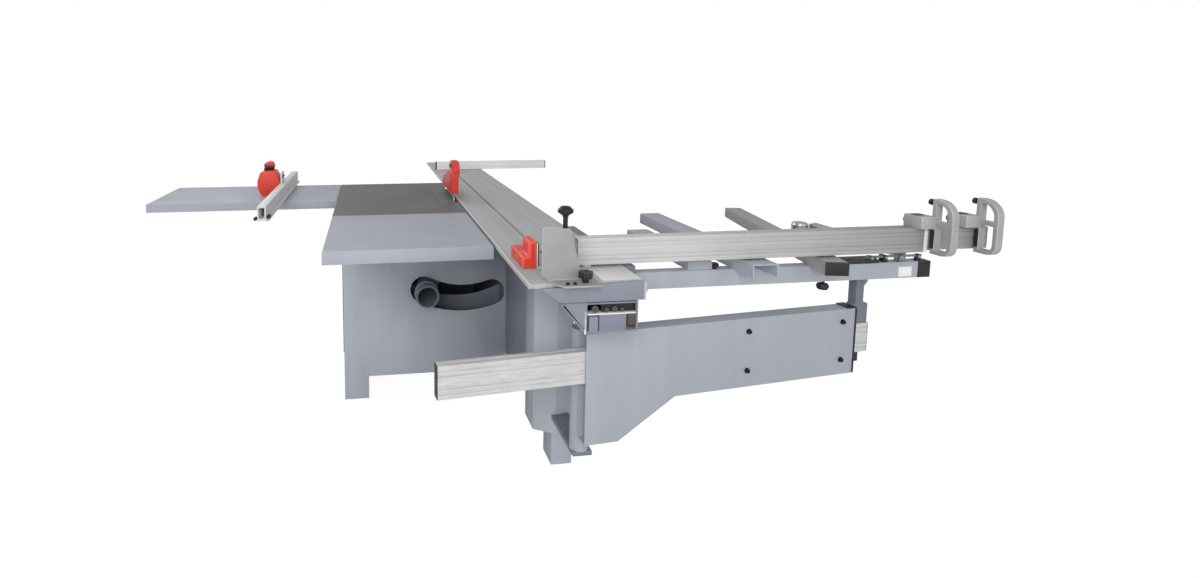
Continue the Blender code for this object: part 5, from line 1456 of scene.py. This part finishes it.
def angled_bar_cap():
    """The black plug in the angled bar's end."""
    bar_low, bar_high = machine_box("angled_bar")
    middle = (bar_low + bar_high) / 2
    cap = block(
        "angled_bar_cap",
        (middle.x - 0.0378, middle.y - 0.4955, TABLE - 0.0469),
        (middle.x + 0.0378, middle.y - 0.4890, TABLE),
    )
    turn_about(cap, at(middle.x, middle.y, 0.0), ANGLED_BAR_TURN)
    piece(cap, BLACK, "carriage", 0.0015, BLACK_EDGE)


def cross_channel():
    """The cross bar: a folded channel, open underneath and at its ends."""
    low, high = machine_box("cross_bar")
    centre = (low + high) / 2
    half = 0.046
    length = (high.y - low.y) / 2 - half * math.sin(CROSS_BAR_TURN)
    wall = 0.004
    outline = [
        (centre.x - half, low.z),
        (centre.x - half + wall, low.z),
        (centre.x - half + wall, high.z - wall),
        (centre.x + half - wall, high.z - wall),
        (centre.x + half - wall, low.z),
        (centre.x + half, low.z),
        (centre.x + half, high.z),
        (centre.x - half, high.z),
    ]
    shape = extrusion("cross_channel", "XZ", outline, centre.y - length, centre.y + length)
    turn_about(shape, at(centre.x, centre.y, 0.0), -CROSS_BAR_TURN)
    stand_in(shape, "cross_bar", PALE, 0.0012, PALE_EDGE)


# ---------------------------------------------------------------- crosscut fence
def fence_bar():
    """The grooved bar with its pivot below, and the collar at its far end."""
    low, high = machine_box("crosscut_fence")
    near = low.y
    far = high.y
    under = TABLE + 0.009
    top = high.z
    outline = grooved_bar(
        near,
        under,
        far,
        top,
        ([0.0225], 0.008, 0.0025),
        ([0.020, 0.044, 0.068], 0.006, 0.0025),
        ([0.0225], 0.009, 0.0028),
        ([0.016, 0.030, 0.058, 0.072], 0.0026, 0.0016),
    )
    bar = extrusion("fence_profile", "YZ", outline, low.x, high.x)
    core = block(
        "core", (low.x - 0.01, near + 0.0045, under + 0.0045), (high.x + 0.01, far - 0.0045, top - 0.0045)
    )
    carve(bar, "DIFFERENCE", core)
    mitre_axis = Vector(JOINTS["fence_mitre"]["pos_m"]) - CORNER
    pivot = spun(
        "pivot",
        "Z",
        (mitre_axis.x, mitre_axis.y, TABLE + 0.0003),
        [(0.0, 0.0), (0.018, 0.0), (0.018, under - TABLE), (0.0, under - TABLE)],
        28,
    )
    carve(bar, "UNION", pivot)
    stand_in(bar, "crosscut_fence", FENCE_ALU, 0.0005)
    collar_low = (high.x - 0.012, near - 0.0012, under - 0.0012)
    collar = block("fence_collar", collar_low, (high.x + 0.002, far + 0.0012, top + 0.0002))
    hole = block(
        "hole", (high.x - 0.02, near + 0.0001, under + 0.0001), (high.x + 0.01, far - 0.0001, top + 0.01)
    )
    piece(carve(collar, "DIFFERENCE", hole), BRIGHT_ALU, "fence", 0.0004)


def fence_extension():
    """The bar that pulls out of the fence, and its end cap."""
    ext_low, ext_high = machine_box("fence_extension")
    outline = grooved_bar(
        ext_low.y,
        ext_low.z,
        ext_high.y,
        ext_high.z,
        ([0.0177], 0.006, 0.002),
        ([0.020, 0.058], 0.004, 0.002),
        ([0.0177], 0.008, 0.002),
        ([0.014, 0.039, 0.064], 0.003, 0.0014),
    )
    rod = extrusion("extension_profile", "YZ", outline, ext_low.x, ext_high.x - 0.003)
    stand_in(rod, "fence_extension", FENCE_ALU_DARK, 0.0004)
    cap = block(
        "extension_end_cap",
        (ext_high.x - 0.003 + SKIN / 3, ext_low.y, ext_low.z),
        (ext_high.x, ext_high.y, ext_high.z),
    )
    piece(cap, BLACK, "extension", 0.001)


def flip_stops():
    """The two stops: slider, flip-over handle, knobs, pad and lens."""
    near = machine_box("crosscut_fence")[0].y
    for tag, slider_body, flip_body in (("a", "stop_a", "flip_a"), ("b", "extension", "flip_b")):
        soften(f"stop_slider_{tag}", STOP_ALU, 0.0025, CAST_ALU_EDGE, 3)
        soften(f"flip_stop_{tag}", STOP_ALU, 0.0022, CAST_ALU_EDGE, 3)
        slider_low, slider_high = machine_box(f"stop_slider_{tag}")
        stop_low, stop_high = machine_box(f"flip_stop_{tag}")
        turned(
            f"flip_stop_{tag}_knob",
            "Y",
            (stop_high.x - 0.0125, stop_high.y + SKIN, stop_high.z - 0.014),
            [
                (0.0, 0.0), (0.005, 0.0), (0.005, 0.006), (0.011, 0.008), (0.011, 0.020),
                (0.008, 0.023), (0.0, 0.024),
            ],
            28,
            flip_body,
        )
        pad = block(
            f"flip_stop_{tag}_pad",
            (stop_high.x - 0.0280, stop_high.y - 0.014, stop_low.z + 0.020),
            (stop_high.x - 0.0253, stop_high.y - 0.002, stop_low.z + 0.085),
        )
        piece(pad, BLACK, flip_body, 0.0008)
        turned(
            f"stop_slider_{tag}_clamp",
            "Y",
            ((slider_low.x + slider_high.x) / 2, slider_high.y + SKIN, slider_high.z - 0.024),
            [
                (0.0, 0.0), (0.006, 0.0), (0.006, 0.006), (0.0125, 0.008), (0.0135, 0.018),
                (0.010, 0.022), (0.0, 0.023),
            ],
            28,
            slider_body,
        )
        window = block(
            f"stop_slider_{tag}_lens",
            (slider_low.x + 0.008, near + 0.010, slider_high.z + SKIN),
            (slider_low.x + 0.040, near + 0.034, slider_high.z + 0.003),
        )
        piece(window, DARK_GLASS, slider_body, 0.001)


# ---------------------------------------------------------------- swing arm
def along_arm(thing):
    """Turn and move a piece modelled at the frame's own origin into the arm's place."""
    place = Matrix.Translation(Vector((ARM_PIVOT.x, ARM_PIVOT.y, 0.0))) @ Matrix.Rotation(ARM_ANGLE, 4, "Z")
    thing.data.transform(place @ Matrix.Translation(-Vector((CORNER.x, CORNER.y, 0.0))))
    return thing


# Places on the arm and its bar are along the arm and across it, from its hinge.
def swing_arm():
    """The arm and its post, with the bolts that hold the bar's bearings."""
    soften("swing_arm", ARM_PAINT_SHADED, 0.002, PAINT_EDGE, 3)
    soften("support_post", DEEP_SHADE_PAINT, 0.002, DEEP_SHADE_EDGE)
    near = -0.092
    bolt_reaches = (0.597, 0.997)
    bolt_heights = (0.6332, 0.4888)
    heads = []
    for a in bolt_reaches:
        for z in bolt_heights:
            ring = [(0.006, 0.0), (0.0100, 0.0), (0.0100, -0.0018), (0.006, -0.0018)]
            washer = spun("washer", "Y", (a, near - SKIN, z), ring, 28)
            head = socket_bolt("head", "Y", (a, near - 0.0019, z), -1, 0.0078, 0.007)
            heads += [washer, head]
    rows = [heads[i : i + 2] for i in range(0, len(heads), 2)]
    for number, row in enumerate(rows, 1):
        bolt = along_arm(join(f"arm_bearing_bolt_{number}", *row))
        piece(bolt, BOLT_BLACK, "arm", 0.0008)


def arm_hinge_cap():
    """The ring on top of the arm's hinge."""
    hinge = ARM_PIVOT - CORNER
    turned(
        "arm_hinge_cap",
        "Z",
        (hinge.x, hinge.y, 0.7050),
        [(0.0230, 0.0), (0.0300, 0.0), (0.0300, 0.006), (0.0270, 0.009), (0.0230, 0.009)],
        36,
        "frame",
    )


def telescopic_bar():
    """The ribbed bar that slides in the arm, and its end caps."""
    start = -0.525
    end = 1.120
    low_n = -0.084
    high_n = -0.044
    under = 0.506
    top = 0.616
    edge = ([0.020], 0.006, 0.0015)
    ribs = ([0.017, 0.034, 0.076, 0.093], 0.0036, 0.0024)
    outline = grooved_bar(low_n, under, high_n, top, edge, ribs, edge, ribs)
    bar = extrusion("ribbed_bar", "YZ", outline, start, end)
    core = block(
        "core", (start - 0.01, low_n + 0.004, under + 0.004), (end + 0.01, high_n - 0.004, top - 0.004)
    )
    carve(bar, "DIFFERENCE", core)
    along_arm(bar)
    stand_in(bar, "telescopic_bar", RIBBED_ALU, 0.0004)
    for name, a0, a1 in (
        ("bar_end_cap_left", start - 0.0030, start - 0.0002), ("bar_end_cap_right", end + 0.0002, end + 0.003)
    ):
        cap = along_arm(
            block(name, (a0, low_n + 0.0005, under + 0.0005), (a1, high_n - 0.0005, top - 0.0005))
        )
        piece(cap, BLACK, "bar", 0.0008)


def arm_fittings():
    """The post's gusset, the trims at the arm's end and the bar's catch."""
    arm_end = 1.0575
    arm_top = 0.6803
    gusset = along_arm(
        extrusion(
            "post_gusset",
            "XZ",
            [(1.0963, 0.7840), (1.1240, 0.7840), (1.1240, 0.7700), (1.0963, 0.7400)],
            -0.070,
            -0.060,
        )
    )
    piece(gusset, SHADE_PAINT, "bar", 0.0008, SHADE_PAINT_EDGE)
    trim = along_arm(
        block("arm_end_trim", (arm_end - 0.0062, -0.0945, 0.4330), (arm_end, -0.0850, arm_top + 0.0007))
    )
    piece(trim, BLACK, "arm", 0.001, BLACK_EDGE)
    top_trim = along_arm(
        block("arm_top_trim", (arm_end - 0.0365, -0.0925, arm_top), (arm_end, -0.0350, arm_top + 0.0032))
    )
    piece(top_trim, BLACK, "arm", 0.0008, BLACK_EDGE)
    catch = along_arm(block("bar_end_catch", (1.062, -0.0830, 0.4700), (1.086, -0.0500, 0.5055)))
    piece(catch, BLACK, "bar", 0.002, BLACK_EDGE)


# ---------------------------------------------------------------- stage
def lay_floor():
    """A plain pale floor that looks white to the camera and still takes a soft shadow."""
    bpy.ops.object.select_all(action="DESELECT")
    bpy.ops.mesh.primitive_plane_add(size=40.0, location=(0.0, 0.0, CAD_BOX[0][2] - 0.0005))
    floor = bpy.context.object
    floor.name = "studio_floor"
    made = bpy.data.materials.new("studio_floor")
    made.use_nodes = True
    tree = made.node_tree
    tree.nodes.clear()
    out = tree.nodes.new("ShaderNodeOutputMaterial")
    matt = tree.nodes.new("ShaderNodeBsdfDiffuse")
    matt.inputs["Color"].default_value = (0.80, 0.80, 0.80, 1.0)
    glow = tree.nodes.new("ShaderNodeEmission")
    glow.inputs["Color"].default_value = (1.0, 1.0, 1.0, 1.0)
    glow.inputs["Strength"].default_value = 1.10
    path = tree.nodes.new("ShaderNodeLightPath")
    share = tree.nodes.new("ShaderNodeMath")
    share.operation = "MULTIPLY"
    share.inputs[1].default_value = 0.86
    mix = tree.nodes.new("ShaderNodeMixShader")
    tree.links.new(path.outputs["Is Camera Ray"], share.inputs[0])
    tree.links.new(share.outputs[0], mix.inputs["Fac"])
    tree.links.new(matt.outputs[0], mix.inputs[1])
    tree.links.new(glow.outputs[0], mix.inputs[2])
    tree.links.new(mix.outputs[0], out.inputs["Surface"])
    floor.data.materials.append(made)


def fill_the_air():
    """Even light from all round, white where the camera looks straight at it."""
    world = bpy.data.worlds.new("studio")
    bpy.context.scene.world = world
    world.use_nodes = True
    tree = world.node_tree
    tree.nodes.clear()
    out = tree.nodes.new("ShaderNodeOutputWorld")
    air = tree.nodes.new("ShaderNodeBackground")
    air.inputs["Strength"].default_value = 0.56
    air.inputs["Color"].default_value = (1.0, 1.0, 1.0, 1.0)
    seen = tree.nodes.new("ShaderNodeBackground")
    seen.inputs["Strength"].default_value = 1.0
    seen.inputs["Color"].default_value = (1.0, 1.0, 1.0, 1.0)
    path = tree.nodes.new("ShaderNodeLightPath")
    mix = tree.nodes.new("ShaderNodeMixShader")
    tree.links.new(path.outputs["Is Camera Ray"], mix.inputs["Fac"])
    tree.links.new(air.outputs[0], mix.inputs[1])
    tree.links.new(seen.outputs[0], mix.inputs[2])
    tree.links.new(mix.outputs[0], out.inputs["Surface"])


def hang_lamps():
    """Three large soft lamps, aimed at the machine's middle."""
    for name, place, size, power in (
        ("key_light", (-2.4, -7.0, 3.6), 3.5, 275.0),
        ("fill_light", (3.0, -6.5, 2.5), 3.5, 75.0),
        ("back_light", (-3.0, 3.6, 4.2), 3.0, 90.0),
    ):
        lamp = bpy.data.lights.new(name, "AREA")
        lamp.energy = power
        lamp.size = size
        holder = bpy.data.objects.new(name, lamp)
        holder.location = place
        aim = Vector((0.0, 0.0, 0.7)) - Vector(place)
        holder.rotation_euler = aim.to_track_quat("-Z", "Y").to_euler()
        bpy.context.scene.collection.objects.link(holder)


def set_camera():
    """The camera at the infeed end, to the left of the carriage."""
    lens = bpy.data.cameras.new("camera")
    lens.sensor_width = 36.0
    lens.lens = 18.199
    lens.shift_x = 0.125
    lens.shift_y = -0.1123
    lens.clip_end = 100.0
    camera = bpy.data.objects.new("camera", lens)
    camera.location = at(-0.46631, -1.71279, 1.47241)
    camera.rotation_euler = (math.radians(84.207), 0.0, math.radians(-7.563))
    bpy.context.scene.collection.objects.link(camera)
    bpy.context.scene.camera = camera
    bpy.context.scene.view_settings.view_transform = "Standard"


cabinet()
brace_plate()
near_panel()
door_fittings()
controls()
tables()
rail_caps()
table_edges()
rip_lever()
rip_head_fittings()
rip_fence()
saw_unit()
dust_port()
motor_fins()
saw_blade()
blade_guard()
carriage_top()
carriage_end()
star_knob()
edging_shoe()
mitre_bar()
beam_end()
index_hook()
outrigger()
rail_end()
cross_channel()
rail_knobs()
stop_rail()
angled_bar_cap()
fence_bar()
fence_extension()
flip_stops()
swing_arm()
arm_hinge_cap()
telescopic_bar()
arm_fittings()
lay_floor()
fill_the_air()
hang_lamps()
set_camera()
